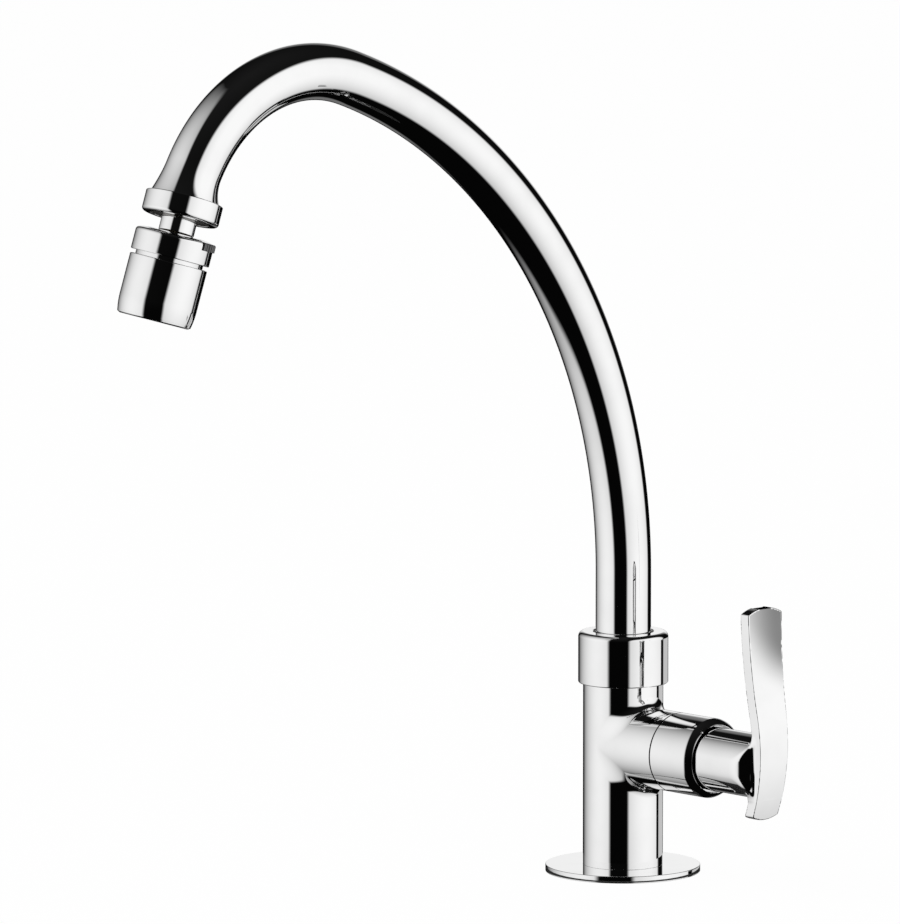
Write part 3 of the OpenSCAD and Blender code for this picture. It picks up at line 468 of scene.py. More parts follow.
def base_disc():
    return turned("base_disc", outline([
        (SHANK_HOLE_R, 0), (RECESS_IN_R, 0), (RECESS_IN_R, RECESS_T), (RECESS_OUT_R, RECESS_T), (RECESS_OUT_R, 0),
        (DISC_R, 0, 0.15), (DISC_R, DISC_T, 0.28), (SHANK_HOLE_R, DISC_T)]))


def tee_body():
    """Upright body and branch, with a rolling fillet that is widest at the sides of the tee."""
    skin = Skin()
    phi = np.linspace(-math.pi, math.pi, 257)
    ball = TEE_FILLET + TEE_SWEEP * np.abs(np.sin(phi)) ** TEE_FADE
    rb, rr = BODY_R + ball, BRANCH_R + ball
    y, z = rr * np.sin(phi), rr * np.cos(phi)
    x = np.sqrt(rb * rb - y * y)
    centre = np.stack([x, y, z], 1)
    n1 = np.stack([x, y, 0 * x], 1) / rb[:, None]
    n2 = np.stack([0 * x, y, z], 1) / rr[:, None]
    # fillet, from the body's contact line to the branch's
    dot = np.clip((n1 * n2).sum(1), -1, 1)
    angle = np.arccos(dot)[:, None]
    rows_p, rows_n = [], []
    for t in np.linspace(0, 1, 15):
        n = (np.sin((1 - t) * angle) * n1 + np.sin(t * angle) * n2) / np.maximum(np.sin(angle), 1e-9)
        n /= np.linalg.norm(n, axis=1, keepdims=True)
        rows_p.append(centre - ball[:, None] * n)
        rows_n.append(n)
    up = np.array([0, 0, BRANCH_Z])
    skin.grid(np.array(rows_p) + up, np.array(rows_n), flip=True)
    # branch, from the fillet to its end face
    start = rows_p[-1]
    edge = BRANCH_END - BRANCH_EDGE
    along = np.linspace(0, 1, 7)[:, None]
    cols = np.repeat(start[None], len(along), 0)
    cols[:, :, 0] = start[:, 0] + (edge - start[:, 0]) * along
    skin.grid(cols + up, np.repeat(n2[None], len(along), 0), flip=True)
    # body, above and below the branch's hole and round the back
    top, low = BODY_TOP - SHOULDER_EDGE, DISC_T + FOOT_EDGE
    half = np.abs(phi) <= math.pi / 2 + 1e-9
    front = rows_p[0][half]
    order = np.argsort(np.arctan2(front[:, 1], front[:, 0]))
    front = front[order]
    a_front = np.arctan2(front[:, 1], front[:, 0])
    a_back = np.linspace(a_front[-1], a_front[0] + 2 * math.pi, 161)
    rise = np.linspace(0, 1, 13)

    def wall(angles, z0, z1):
        ca, sa = np.cos(angles), np.sin(angles)
        rows = np.array([np.stack([BODY_R * ca, BODY_R * sa, z0 + (z1 - z0) * t], 1) for t in rise])
        n = np.repeat(np.stack([ca, sa, 0 * ca], 1)[None], len(rise), 0)
        skin.grid(rows, n)

    wall(a_front, BRANCH_Z + front[:, 2], top)
    wall(a_front, low, BRANCH_Z - front[:, 2])
    level = np.full_like(a_back, BRANCH_Z)
    wall(a_back, level, top)
    wall(a_back, low, level)
    # shoulder, neck and socket above; foot and thread socket below; the branch's end and bore
    around = np.concatenate([a_front, a_back[1:]])
    turn_outline(skin, outline([
        (BODY_R, top - 0.001), (BODY_R, BODY_TOP, 0.19), (NECK_R, BODY_TOP), (NECK_R, NECK_TOP, 0.3),
        (SOCKET_R, NECK_TOP), (SOCKET_R, SOCKET_LOW), (0, SOCKET_LOW)], closed=False), around)
    turn_outline(skin, outline([
        (0, SHANK_TOP), (SHANK_R, SHANK_TOP), (SHANK_R, DISC_T), (BODY_R, DISC_T, 0.11), (BODY_R, low + 0.001)],
        closed=False), around)
    branch = Skin()
    turn_outline(branch, outline([
        (BRANCH_R, edge), (BRANCH_R, BRANCH_END, 0.25), (BORE_R, BRANCH_END), (BORE_R, BORE_LOW), (0, BORE_LOW)],
        closed=False), math.pi - phi)
    turn = np.array(ON_VALVE.to_3x3())
    for p, n in zip(branch.points, branch.normals):
        skin.points.append(p @ turn.T + np.array(ON_VALVE.translation))
        skin.normals.append(n @ turn.T)
    return skin.mesh("tee_body")


def foot_nut():
    return turned("foot_nut", outline([
        (NUT_CUP_R, NUT_LOW), (NUT_R, NUT_LOW, 0.5), (NUT_R, NUT_TOP, NUT_EDGE), (NUT_HOLE_R, NUT_TOP, 0.5),
        (NUT_HOLE_R, NUT_TOP - NUT_LIP), (NUT_CUP_R, NUT_TOP - NUT_LIP)], steps=12))


def trim_sleeve():
    runs = outline([
        (SLEEVE_BORE_R, WEB_LOW), (SLEEVE_BORE_R, SLEEVE_LOW), (BRANCH_R, SLEEVE_LOW, 0.25), (BRANCH_R, BEVEL_LOW)],
        closed=False)
    runs.append(arc(BEVEL_CENTRE, BEVEL_R, BEVEL_FROM, BEVEL_TO, 12))
    runs += outline([
        (MOUTH_R + 0.15, SLEEVE_END), (MOUTH_R, SLEEVE_END - 0.1), (MOUTH_R, WEB_TOP), (WEB_HOLE_R, WEB_TOP),
        (WEB_HOLE_R, WEB_LOW), (SLEEVE_BORE_R, WEB_LOW)], closed=False)
    return turned("trim_sleeve", runs, ON_VALVE)


def outlet_ring():
    return turned("outlet_ring", outline([
        (RING_HOLE_R, SPIGOT_TOP), (SPIGOT_R, SPIGOT_TOP), (SPIGOT_R, 0), (RING_R, 0, 0.4), (RING_R, RING_H, 1.2),
        (RING_BORE_R, RING_H, 0.2), (RING_BORE_R, RING_WEB), (RING_HOLE_R, RING_WEB)], steps=10), ON_OUTLET)


def ball_neck():
    join = math.degrees(math.asin(STEM_R / BALL_R))
    cut = math.degrees(math.asin(BALL_CUT / BALL_R))
    low = BALL_DROP + BALL_CUT
    runs = outline([
        (STEM_BORE_R, low), (STEM_BORE_R, FLANGE_TOP), (FLANGE_R, FLANGE_TOP), (FLANGE_R, FLANGE_LOW),
        (STEM_R, FLANGE_LOW), (STEM_R, BALL_DROP - BALL_R * math.cos(rad(join)))], closed=False)
    runs.append(arc((0, BALL_DROP), BALL_R, join - 90, cut, 48))
    runs += outline([(BALL_R * math.cos(rad(cut)), low), (STEM_BORE_R, low)], closed=False)
    return turned("ball_neck", runs, ON_OUTLET, 192)


def head_cap():
    return turned("head_cap", outline([
        (CAP_BORE_R, COLLAR_LOW), (CAP_BORE_R, CAP_ROOF), (CAP_HOLE_R, CAP_ROOF), (*CAP_LIP, 0.15), (*CAP_CREST, 6),
        (COLLAR_R, COLLAR_TOP, 1.2), (COLLAR_R, COLLAR_LOW, 0.35)], steps=9), ON_HEAD)


def head_barrel():
    r, rim, top, low, taper = BARREL_R, RIM_R, BARREL_TOP, BARREL_LOW, BARREL_TAPER
    taper_r = (taper ** 2 + (r - rim) ** 2) / (2 * (r - rim))
    bend = math.degrees(math.asin(taper / taper_r))
    runs = outline([
        (SPRAY_NECK_R, SPRAY_NECK_TOP), (SPRAY_STEP_R, SPRAY_NECK_TOP), (SPRAY_STEP_R, top), (r, top, 0.4),
        (r, low - taper)], closed=False)
    runs.append(arc((r - taper_r, low - taper), taper_r, 0, bend - 1.0, 16))
    last = runs[-1][-1][0]
    runs += outline([
        tuple(last), (rim, low, 1.4), (SPRAY_BORE_R, low, 0.2), (SPRAY_BORE_R, SEAT_LOW), (SEAT_R, SEAT_LOW),
        (SEAT_R, SEAT_TOP), (SPRAY_NECK_R, SEAT_TOP), (SPRAY_NECK_R, SPRAY_NECK_TOP)], closed=False)
    return turned("head_barrel", runs, ON_HEAD)


# ---------------------------------------------------------------- lever, from its distance field

def soft_union(a, b, r):
    u, v = np.maximum(r - a, 0), np.maximum(r - b, 0)
    return np.maximum(r, np.minimum(a, b)) - np.hypot(u, v)


def soft_cross(a, b, r):
    u, v = np.maximum(r + a, 0), np.maximum(r + b, 0)
    return np.minimum(-r, np.maximum(a, b)) + np.hypot(u, v)


def lever_field(p):
    """Signed distance to the lever's surface; p is relative to the valve's axis."""
    x, y, z = p[..., 0], p[..., 1], p[..., 2]
    # side view of the blade: a convex bulge below, a hollow sweep above
    bulge_x = LEVER_REACH - BULGE_R
    turn = rad(HOLLOW_TURN)
    hollow_x = bulge_x + (BULGE_R + HOLLOW_R) * math.cos(turn)
    hollow_z = BULGE_RISE + (BULGE_R + HOLLOW_R) * math.sin(turn)
    low_d = np.hypot(x - bulge_x, z - BULGE_RISE)
    up_d = np.hypot(x - hollow_x, z - hollow_z)
    above = (z - BULGE_RISE) * math.cos(turn) - (x - bulge_x) * math.sin(turn) > 0
    outer = np.where(above, HOLLOW_R - up_d, low_d - BULGE_R)
    inner = np.where(above, up_d - HOLLOW_R - BLADE_T, BULGE_R - BLADE_T - low_d)
    # front view of the blade: it narrows downwards, with arched ends
    slope = (TIP_W - LOW_W) / 2 / (LEVER_UP + LEVER_DOWN)
    half = LOW_W / 2 + slope * (z + LEVER_DOWN)
    side = (np.abs(y) - half) / math.hypot(1, slope)
    tip_r = ((TIP_W / 2) ** 2 + TIP_CROWN ** 2) / (2 * TIP_CROWN)
    low_r = ((LOW_W / 2) ** 2 + LOW_CROWN ** 2) / (2 * LOW_CROWN)
    tip = np.hypot(y, z - (LEVER_UP - tip_r)) - tip_r
    low = np.hypot(y, z - (low_r - LEVER_DOWN)) - low_r
    tip = np.where(z < LEVER_UP - tip_r, -20.0, tip)
    low = np.where(z > low_r - LEVER_DOWN, -20.0, low)
    front = soft_cross(soft_cross(side, tip, 0.4), low, 0.4)
    blade = np.maximum(soft_cross(outer, front, 0.3), soft_cross(inner, front, 0.3))
    # hub, whose sides round in to the blade's width
    across = np.abs(y) - (HUB_R - SIDE_R)
    sweep = np.where(x < SIDE_X, across, np.hypot(x - SIDE_X, np.maximum(across, 0))) - SIDE_R
    hub = soft_cross(np.hypot(y, z) - HUB_R, HUB_LOW - x, 0.5)
    hub = soft_cross(hub, sweep, 0.6)
    hub = soft_cross(hub, outer + 2.5, 0.3)
    blend = 1.0 + 1.8 * np.minimum(np.abs(z) / HUB_R, 1) ** 3
    whole = soft_union(blade, hub, blend)
    # set screw's hole in the hub's underside
    hole = np.maximum(np.hypot(x - SCREW_X, y) - SCREW_R, z)
    return soft_cross(whole, -hole, 0.25)


def field_skin(name, field, low, high, step, place):
    """A mesh of the surface where a field is zero, with the field's own slope as its normals."""
    axes = [np.arange(low[k], high[k] + step, step) for k in range(3)]
    spots = np.stack(np.meshgrid(*axes, indexing="ij"), -1)
    f = field(spots)
    inside = f < 0
    cells = np.zeros([n - 1 for n in f.shape], int)
    shifts = [(i, j, k) for i in (0, 1) for j in (0, 1) for k in (0, 1)]
    nx, ny, nz = cells.shape
    for i, j, k in shifts:
        cells += inside[i:i + nx, j:j + ny, k:k + nz]
    active = (cells > 0) & (cells < 8)
    number = np.full(cells.shape, -1)
    where = np.argwhere(active)
    number[active] = np.arange(len(where))
    p = np.stack([axes[k][where[:, k]] + step / 2 for k in range(3)], 1)

    def slope_at(q):
        e = 0.01
        return np.stack([(field(q + np.eye(3)[k] * e) - field(q - np.eye(3)[k] * e)) / (2 * e) for k in range(3)], 1)

    # crossings of the cell's edges give the first place, and the field's slope the rest
    total, weight = np.zeros_like(p), np.zeros(len(p))
    for a in range(3):
        for s in shifts:
            if s[a]:
                continue
            t = list(s)
            t[a] = 1
            i0, i1 = where + np.array(s), where + np.array(t)
            f0, f1 = f[tuple(i0.T)], f[tuple(i1.T)]
            hit = (f0 < 0) != (f1 < 0)
            share = np.where(hit, f0 / np.where(hit, f0 - f1, 1), 0)
            spot = spots[tuple(i0.T)].copy()
            spot[:, a] += share * step
            total[hit] += spot[hit]
            weight[hit] += 1
    p = total / weight[:, None]
    for _ in range(6):
        g = slope_at(p)
        p = p - g * (field(p) / np.maximum((g * g).sum(1), 0.05))[:, None]
    n = slope_at(p)
    n /= np.maximum(np.linalg.norm(n, axis=1, keepdims=True), 1e-9)
    faces = []
    for a in range(3):
        b, c = (a + 1) % 3, (a + 2) % 3
        first = [slice(None)] * 3
        second = [slice(None)] * 3
        first[a], second[a] = slice(0, -1), slice(1, None)
        change = inside[tuple(first)] != inside[tuple(second)]
        at = np.argwhere(change)
        at = at[(at[:, b] > 0) & (at[:, c] > 0) & (at[:, b] < cells.shape[b]) & (at[:, c] < cells.shape[c])]
        ring = []
        for db, dc in ((1, 1), (0, 1), (0, 0), (1, 0)):
            q = at.copy()
            q[:, b] -= db
            q[:, c] -= dc
            ring.append(number[tuple(q.T)])
        ring = np.stack(ring, 1)
        out = inside[tuple(at.T)]
        faces.append(np.where(out[:, None], ring, ring[:, ::-1]))
    faces = np.concatenate(faces)
    data = bpy.data.meshes.new(name)
    turn = np.array(place.to_3x3())
    data.from_pydata(((p @ turn.T + np.array(place.translation)) * MM).tolist(), [], faces.tolist())
    data.update()
    data.shade_smooth()
    data.normals_split_custom_set_from_vertices((n @ turn.T).tolist())
    return add_object(name, data)


def lever_casting():
    return field_skin("lever_casting", lever_field, (37.5, -12, -21), (77.5, 12, 54.5), 0.4,
                      Matrix.Translation((0, 0, BRANCH_Z)))


# ---------------------------------------------------------------- pieces that follow a path or repeat

def spout_path():
    """Points along the spout's centre line: riser, long arch and tight bend."""
    points = [(0, 0, z) for z in np.linspace(NUT_TOP - TUBE_SUNK, RISER_TOP, 16)[:-1]]
    for a in np.linspace(0, rad(ARCH_A), 181)[:-1]:
        points.append((0, -ARCH_R * (1 - math.cos(a)), RISER_TOP + ARCH_R * math.sin(a)))
    yc = -ARCH_R * (1 - math.cos(rad(ARCH_A))) - HOOK_R * math.cos(rad(ARCH_A))
    zc = RISER_TOP + ARCH_R * math.sin(rad(ARCH_A)) - HOOK_R * math.sin(rad(ARCH_A))
    for a in np.linspace(rad(ARCH_A), rad(ARCH_A + HOOK_A), 151):
        points.append((0, yc + HOOK_R * math.cos(a), zc + HOOK_R * math.sin(a)))
    return points


def bent_tube():
    tree = Tree("bent_tube", Radius=TUBE_R * MM, Flare=(FLARE_R - TUBE_R) * MM, FlareLength=FLARE_LEN * MM,
                Sides=144, Finish=CHROME)
    spot = tree.node("GeometryNodeSplineParameter").outputs["Length"]
    whole = tree.node("GeometryNodeSplineLength").outputs["Length"]
    left = tree.maths("SUBTRACT", whole, spot)
    share = tree.maths("SUBTRACT", 1.0, tree.maths("DIVIDE", left, tree.value("FlareLength")))
    swell = tree.maths("POWER", tree.maths("MAXIMUM", share, 0.0), FLARE_POWER)
    size = tree.maths("ADD", tree.value("Radius"), tree.maths("MULTIPLY", swell, tree.value("Flare")))
    round_off = tree.node("GeometryNodeCurvePrimitiveCircle", {"Resolution": tree.value("Sides"), "Radius": 1.0})
    bare = tree.node("GeometryNodeSetCurveRadius", {"Curve": tree.value("Geometry"), "Radius": size})
    sweep = tree.node("GeometryNodeCurveToMesh", {
        "Curve": bare.outputs[0], "Profile Curve": round_off.outputs["Curve"], "Fill Caps": True})
    if "Scale" in sweep.inputs:
        tree.group.links.new(tree.node("GeometryNodeInputRadius").outputs[0], sweep.inputs["Scale"])
    tree.finish(sweep.outputs[0])
    made = tree.make(path_object("spout_line", spout_path()), "bent_tube")
    made.data.shade_smooth()
    made.data.set_sharp_from_angle(angle=rad(40))
    return made


def grip_ribs():
    """Ribbed grip on the head's collar: a curved pad with ribs along the head's axis, rounded at their tops."""
    r0, r1, proud = COLLAR_R - 0.5, COLLAR_R + GRIP_PROUD / 2, COLLAR_R + GRIP_PROUD
    tree = Tree("grip_ribs", Count=RIB_COUNT, Spread=rad(GRIP_A), Radius=(proud - RIB_R) * MM,
                Rise=(GRIP_TOP + GRIP_LOW) / 2 * MM, RibHeight=(GRIP_LOW - GRIP_TOP - 0.1) * MM, RibWidth=RIB_R * MM,
                Finish=PAINTED_SHADE_CHROME)
    radius, width, height = tree.value("Radius"), tree.value("RibWidth"), tree.value("RibHeight")
    points = tree.node("GeometryNodePoints", {"Count": tree.value("Count"), "Radius": 0.0001})
    step = tree.maths("DIVIDE", tree.value("Spread"), tree.maths("ADD", tree.value("Count"), -0.35))
    first = tree.maths("MULTIPLY", tree.maths("SUBTRACT", tree.value("Count"), 1.0), 0.5)
    index = tree.node("GeometryNodeInputIndex").outputs[0]
    angle = tree.maths("MULTIPLY", tree.maths("SUBTRACT", index, first), step)
    spot = tree.node("ShaderNodeCombineXYZ", {
        "X": tree.maths("MULTIPLY", radius, tree.maths("COSINE", angle)),
        "Y": tree.maths("MULTIPLY", radius, tree.maths("SINE", angle)), "Z": tree.value("Rise")})
    placed = tree.node("GeometryNodeSetPosition", {"Geometry": points.outputs[0], "Position": spot.outputs[0]})

    def moved(mesh, lift):
        place = tree.node("ShaderNodeCombineXYZ", {"Z": lift})
        return tree.node("GeometryNodeTransform", {"Geometry": mesh, "Translation": place.outputs[0]}).outputs[0]

    bar = tree.node("GeometryNodeMeshCylinder", {
        "Vertices": 24, "Radius": width, "Depth": tree.maths("SUBTRACT", height, width)})
    knob = tree.node("GeometryNodeMeshUVSphere", {"Segments": 24, "Rings": 12, "Radius": width})
    to_end = tree.maths("MULTIPLY", tree.maths("SUBTRACT", height, tree.maths("MULTIPLY", width, 2.0)), -0.5)
    rib = tree.join(moved(bar.outputs["Mesh"], tree.maths("MULTIPLY", width, 0.5)), moved(knob.outputs["Mesh"], to_end))
    turn = tree.node("ShaderNodeCombineXYZ", {"Z": angle})
    ribs = tree.node("GeometryNodeInstanceOnPoints", {
        "Points": placed.outputs[0], "Instance": rib, "Rotation": turn.outputs[0]})
    tree.finish(tree.join(ribs.outputs[0], tree.value("Geometry")))
    half = rad(GRIP_A / 2)
    skin = Skin()
    edge = outline([(r0, GRIP_TOP), (r1, GRIP_TOP, 0.6), (r1, GRIP_LOW, 0.2), (r0, GRIP_LOW)])
    turn_outline(skin, edge, np.linspace(-half, half, 33))
    ring = np.array([p for run in edge for p, _ in run])
    mid = ring.mean(0)
    for a, side in ((-half, -1), (half, 1)):
        p = np.stack([np.stack([ring[:, 0] * math.cos(a), ring[:, 0] * math.sin(a), ring[:, 1]], 1),
                      np.tile([mid[0] * math.cos(a), mid[0] * math.sin(a), mid[1]], (len(ring), 1))])
        n = np.tile(np.array([-math.sin(a), math.cos(a), 0.0]) * side, (2, len(ring), 1))
        skin.grid(p, n, flip=side > 0)
    made = tree.make(skin.mesh("grip_pad"), "grip_ribs")
    made.data.shade_smooth()
    made.data.set_sharp_from_angle(angle=rad(35))
    return settle(made, ON_HEAD @ Matrix.Rotation(rad(GRIP_DIR), 4, "Z"))


def spray_face():
    """Black spray plate with rings of round holes, cut through it."""
    tree = Tree("spray_face", PlateRadius=PLATE_R * MM, HoleRadius=HOLE_R * MM,
                Thickness=(PLATE_LOW - PLATE_TOP) * MM, Finish=BLACK)
    rim = tree.node("GeometryNodeCurvePrimitiveCircle", {"Resolution": 96, "Radius": tree.value("PlateRadius")})
    hole = tree.node("GeometryNodeCurvePrimitiveCircle", {"Resolution": 20, "Radius": tree.value("HoleRadius")})
    holes = tree.node("GeometryNodeInstanceOnPoints", {
        "Points": tree.value("Geometry"), "Instance": hole.outputs["Curve"]})
    real = tree.node("GeometryNodeRealizeInstances", {"Geometry": holes.outputs[0]})
    both = tree.join(rim.outputs["Curve"], real.outputs[0])
    face = tree.node("GeometryNodeFillCurve", {"Curve": both})
    flipped = tree.node("GeometryNodeFlipFaces", {"Mesh": face.outputs[0]})
    thick = tree.node("GeometryNodeExtrudeMesh", {
        "Mesh": face.outputs[0], "Offset Scale": tree.value("Thickness"), "Individual": False})
    shell = tree.join(thick.outputs[0], flipped.outputs[0])
    merged = tree.node("GeometryNodeMergeByDistance", {"Geometry": shell, "Distance": 1e-7})
    tree.finish(merged.outputs[0])
    spots = [(0, 0, 0)]
    for k in range(1, HOLE_RINGS + 1):
        for i in range(6 * k):
            a = rad(60 * i / k)
            spots.append((k * HOLE_PITCH * MM * math.cos(a), k * HOLE_PITCH * MM * math.sin(a), 0))
    data = bpy.data.meshes.new("hole_spots")
    data.from_pydata(spots, [], [])
    made = tree.make(add_object("hole_spots", data), "spray_face")
    return settle(made, ON_HEAD @ Matrix.Translation((0, 0, PLATE_TOP)))


def threaded_shank():
    """Shank with a helical thread, cut by a plain groove between the hose's stretch and the nut's."""
    root, crest = THREAD_ROOT_R, SHANK_R - 0.02
    tree = Tree("shank_thread", Ridge=RIDGE_R * MM, Finish=BRASS)
    # a four-sided ridge swept along each helix, half sunk in the core
    ridge = tree.node("GeometryNodeCurvePrimitiveCircle", {"Resolution": 4, "Radius": tree.value("Ridge")})
    sweep = tree.node("GeometryNodeCurveToMesh", {
        "Curve": tree.value("Geometry"), "Profile Curve": ridge.outputs["Curve"], "Fill Caps": True})
    tree.finish(sweep.outputs[0])
    parts = []
    for name, z0, z1 in (("hose_helix", -SHANK_DROP + 1.6, -37.6), ("nut_helix", -34.6, -1.0)):
        turns = (z1 - z0) / THREAD_PITCH
        count = int(turns * 40)
        spiral = []
        for k in range(count + 1):
            t = k / count
            taper = min(1.0, min(t, 1 - t) * turns * 2.5)
            r = (crest - 0.80) * taper + (root - 0.82) * (1 - taper)
            a = 2 * math.pi * turns * t
            spiral.append((r * math.cos(a), r * math.sin(a), z0 + (z1 - z0) * t))
        parts.append(tree.make(path_object(name, spiral), name))
    core = turned("shank_core", outline([
        (SHANK_BORE_R, -SHANK_DROP, 0.4), (root, -SHANK_DROP, 0.8), (root, -0.5), (SHANK_R, -0.5), (SHANK_R, SHANK_TOP),
        (SHANK_BORE_R, SHANK_TOP)]), sides=128)
    core.data.materials.append(BRASS)
    for part in parts:
        part.data.shade_smooth()
        part.data.set_sharp_from_angle(angle=rad(30))
    with bpy.context.temp_override(active_object=core, selected_editable_objects=[core] + parts,
                                   selected_objects=[core] + parts):
        bpy.ops.object.join()
    core.name = "threaded_shank"
    return core


dress(base_disc(), "escutcheon")
dress(tee_body(), "body")
dress(foot_nut(), "spout_nut")
dress(trim_sleeve(), "bonnet_sleeve")
dress(lever_casting(), "lever")
dress(bent_tube(), "spout_tube")
dress(outlet_ring(), "spout_end_ring")
dress(ball_neck(), "ball_stem")
dress(head_cap(), "head_collar")
# the grip's ribs wear the darkened chrome: painted shade
dress(grip_ribs(), "grip_tab", PAINTED_SHADE_CHROME)
dress(head_barrel(), "barrel")
dress(spray_face(), "spray_plate")
dress(threaded_shank(), "inlet_shank")

# the solids that stay show their own finish, but the retainer, which sits in the shade of the ring's mouth, gets brass
# darkened to near black: painted shade
for node_name, node_obj in frame["nodes"].items():
    coat = PAINTED_SHADE_BRASS if node_name == "stem_retainer" else FINISH_OF[SLOT_OF[node_name]]
    node_obj.data.materials.clear()
    node_obj.data.materials.append(coat)


# ---------------------------------------------------------------- studio, in metres and degrees

# panels: middle (turn from the front, rise), half sizes, brightest spot, its level, how fast it falls off
TENT_PANELS = [
    ((-49, 12.5), (61.5, 65.5), (-25, 5), 0.95, (1.3, 1.6)),
    ((115, -4), (57.5, 54), (118, 14), 1.03, (0.85, 0.9)),
    ((-137, 8), (24, 14), (-137, 8), 0.70, (0, 0), 0.9),
    ((-137, 18), (22, 20), (-137, 8), 0.22, (0, 1.5), 0.4),
    ((-132, -30), (22, 13), (-132, -30), 0.16, (0, 0), 0.5),
]
TENT_R, TENT_ROWS, TENT_COLS, TENT_DARK = 3.0, 24, 48, 0.0015
CARD_R, CARD_LOW, CARD_TOP, CARD_FROM, CARD_TO = 0.4, -0.08, 0.021, 158, 206
CARD_DARK, CARD_LEVEL = 170, 0.56
SKIRT_IN_R, SKIRT_R, SKIRT_TOP, SKIRT_LOW, SKIRT_SIDES = 0.026, 0.0295, 0.0003, -0.056, 36
FLAG_TURN, FLAG_IN, FLAG_OUT, FLAG_FOOT, FLAG_HEAD = 24.5, 0.122, 0.172, 0.069, 0.100
FLAG_NEAR, FLAG_FAR, FLAG_LOW, FLAG_TOP, FLAG_LIFT, FLAG_LEVEL = 0.1079, 0.1663, 0.072, 0.084, (-0.474, 0.421), 0.256
FLOOR_HALF, FLOOR_WHITE, AIR_LEVEL = 6, 0.975, 0.65
LAMPS_AIM = Vector((0, -0.05, 0.12))
EYE_AT, EYE_AHEAD, EYE_LENS, EYE_FILM = (2.5871, -2.4598, 0.6343), (-0.7292, 0.6705, -0.1366), 409.09, 36


def seen_directly(tree):
    """One for rays of the camera and for rays that a mirror or a clear piece passes on."""
    ray = tree.nodes.new("ShaderNodeLightPath").outputs
    seen = maths(tree, "MAXIMUM", ray["Is Camera Ray"], ray["Is Glossy Ray"])
    return maths(tree, "MAXIMUM", seen, ray["Is Transmission Ray"])


def matt(name, level, shine=None):
    """A rough grey material: its material, its tree and its shader."""
    made = bpy.data.materials.new(name)
    made.use_nodes = True
    shader = made.node_tree.nodes["Principled BSDF"]
    shader.inputs["Base Color"].default_value = (level, level, level, 1)
    shader.inputs["Roughness"].default_value = 0.9
    if shine is not None:
        shader.inputs["Specular IOR Level"].default_value = shine
    return made, made.node_tree, shader.outputs[0]


def cloth(name, unit=False):
    """A glowing material: its material, its tree and the place on it as X, Y, Z; with unit, the direction to it."""
    made = bpy.data.materials.new(name)
    made.use_nodes = True
    made.cycles.emission_sampling = "NONE"
    tree = made.node_tree
    tree.nodes.clear()
    tree.nodes.new("ShaderNodeOutputMaterial").name = "Material Output"
    place = tree.nodes.new("ShaderNodeTexCoord").outputs["Object"]
    if unit:
        ahead = tree.nodes.new("ShaderNodeVectorMath")
        ahead.operation = "NORMALIZE"
        tree.links.new(place, ahead.inputs[0])
        place = ahead.outputs[0]
    parts = tree.nodes.new("ShaderNodeSeparateXYZ")
    tree.links.new(place, parts.inputs[0])
    return made, tree, parts.outputs


def glowing(tree, strength):
    glow = tree.nodes.new("ShaderNodeEmission")
    glow.inputs["Color"].default_value = (1, 1, 1, 1)
    feed(tree, glow.inputs["Strength"], strength)
    return glow.outputs[0]


def mixed(tree, share, a, b):
    mix = tree.nodes.new("ShaderNodeMixShader")
    for socket, source in zip(mix.inputs, (share, a, b)):
        tree.links.new(source, socket)
    return mix.outputs[0]


def cover(tree, shader):
    tree.links.new(shader, tree.nodes["Material Output"].inputs["Surface"])


def soft_step(tree, value, low, high, least=0.0, most=1.0):
    step = tree.nodes.new("ShaderNodeMapRange")
    step.interpolation_type = "SMOOTHSTEP"
    sources = {"Value": value, "From Min": low, "From Max": high, "To Min": least, "To Max": most}
    for socket, source in sources.items():
        feed(tree, step.inputs[socket], source)
    return step.outputs["Result"]


def turn_of(tree, place):
    """Turn round the upright axis from the front, in degrees."""
    back = maths(tree, "MULTIPLY", place["Y"], -1.0)
    return maths(tree, "MULTIPLY", maths(tree, "ARCTAN2", place["X"], back), 180 / math.pi)


def stage_mesh(name, corners, faces, material):
    """A piece of the studio, which isn't part of the object."""
    data = bpy.data.meshes.new(name)
    data.from_pydata(corners, [], faces)
    data.update()
    data.materials.append(material)
    obj = add_object(name, data)
    return obj


def shy(obj):
    """Only the metal sees it."""
    obj.visible_camera = False
    obj.visible_diffuse = False
    obj.visible_shadow = False


def white_floor():
    """White floor: it gives the camera its own white, and the rest shows what the object shades."""
    made, tree, shader = matt("white_floor", 0.85, 0.0)
    share = maths(tree, "MULTIPLY", seen_directly(tree), FLOOR_WHITE)
    cover(tree, mixed(tree, share, shader, glowing(tree, 1.0)))
    corners = [(x * FLOOR_HALF, y * FLOOR_HALF, 0) for x, y in ((-1, -1), (1, -1), (1, 1), (-1, 1))]
    floor = stage_mesh("floor", corners, [(0, 1, 2, 3)], made)
    floor.visible_glossy = False


def panel(group, az, el, middle, half, hot, level, fall, edge=0.16, shape=3.4):
    """Brightness of one soft light panel of the tent, seen in a direction; angles in degrees."""
    def turn_from(centre):
        away = maths(group, "ADD", az, 540.0 - centre)
        return maths(group, "SUBTRACT", maths(group, "FLOORED_MODULO", away, 360.0), 180.0)

    def share(value, size):
        return maths(group, "POWER", maths(group, "ABSOLUTE", maths(group, "DIVIDE", value, size)), shape)

    def square(value):
        return maths(group, "MULTIPLY", value, value)

    rise = maths(group, "SUBTRACT", el, middle[1])
    reach = maths(group, "ADD", share(turn_from(middle[0]), half[0]), share(rise, half[1]))
    mask = soft_step(group, maths(group, "POWER", reach, 1 / shape), 1.0, 1.0 - edge)
    dim = maths(group, "MULTIPLY", square(turn_from(hot[0])), fall[0] * 1e-4)
    low = maths(group, "MULTIPLY", square(maths(group, "SUBTRACT", el, hot[1])), fall[1] * 1e-4)
    glow = maths(group, "SUBTRACT", level, maths(group, "ADD", dim, low), True)
    return maths(group, "MULTIPLY", glow, mask)


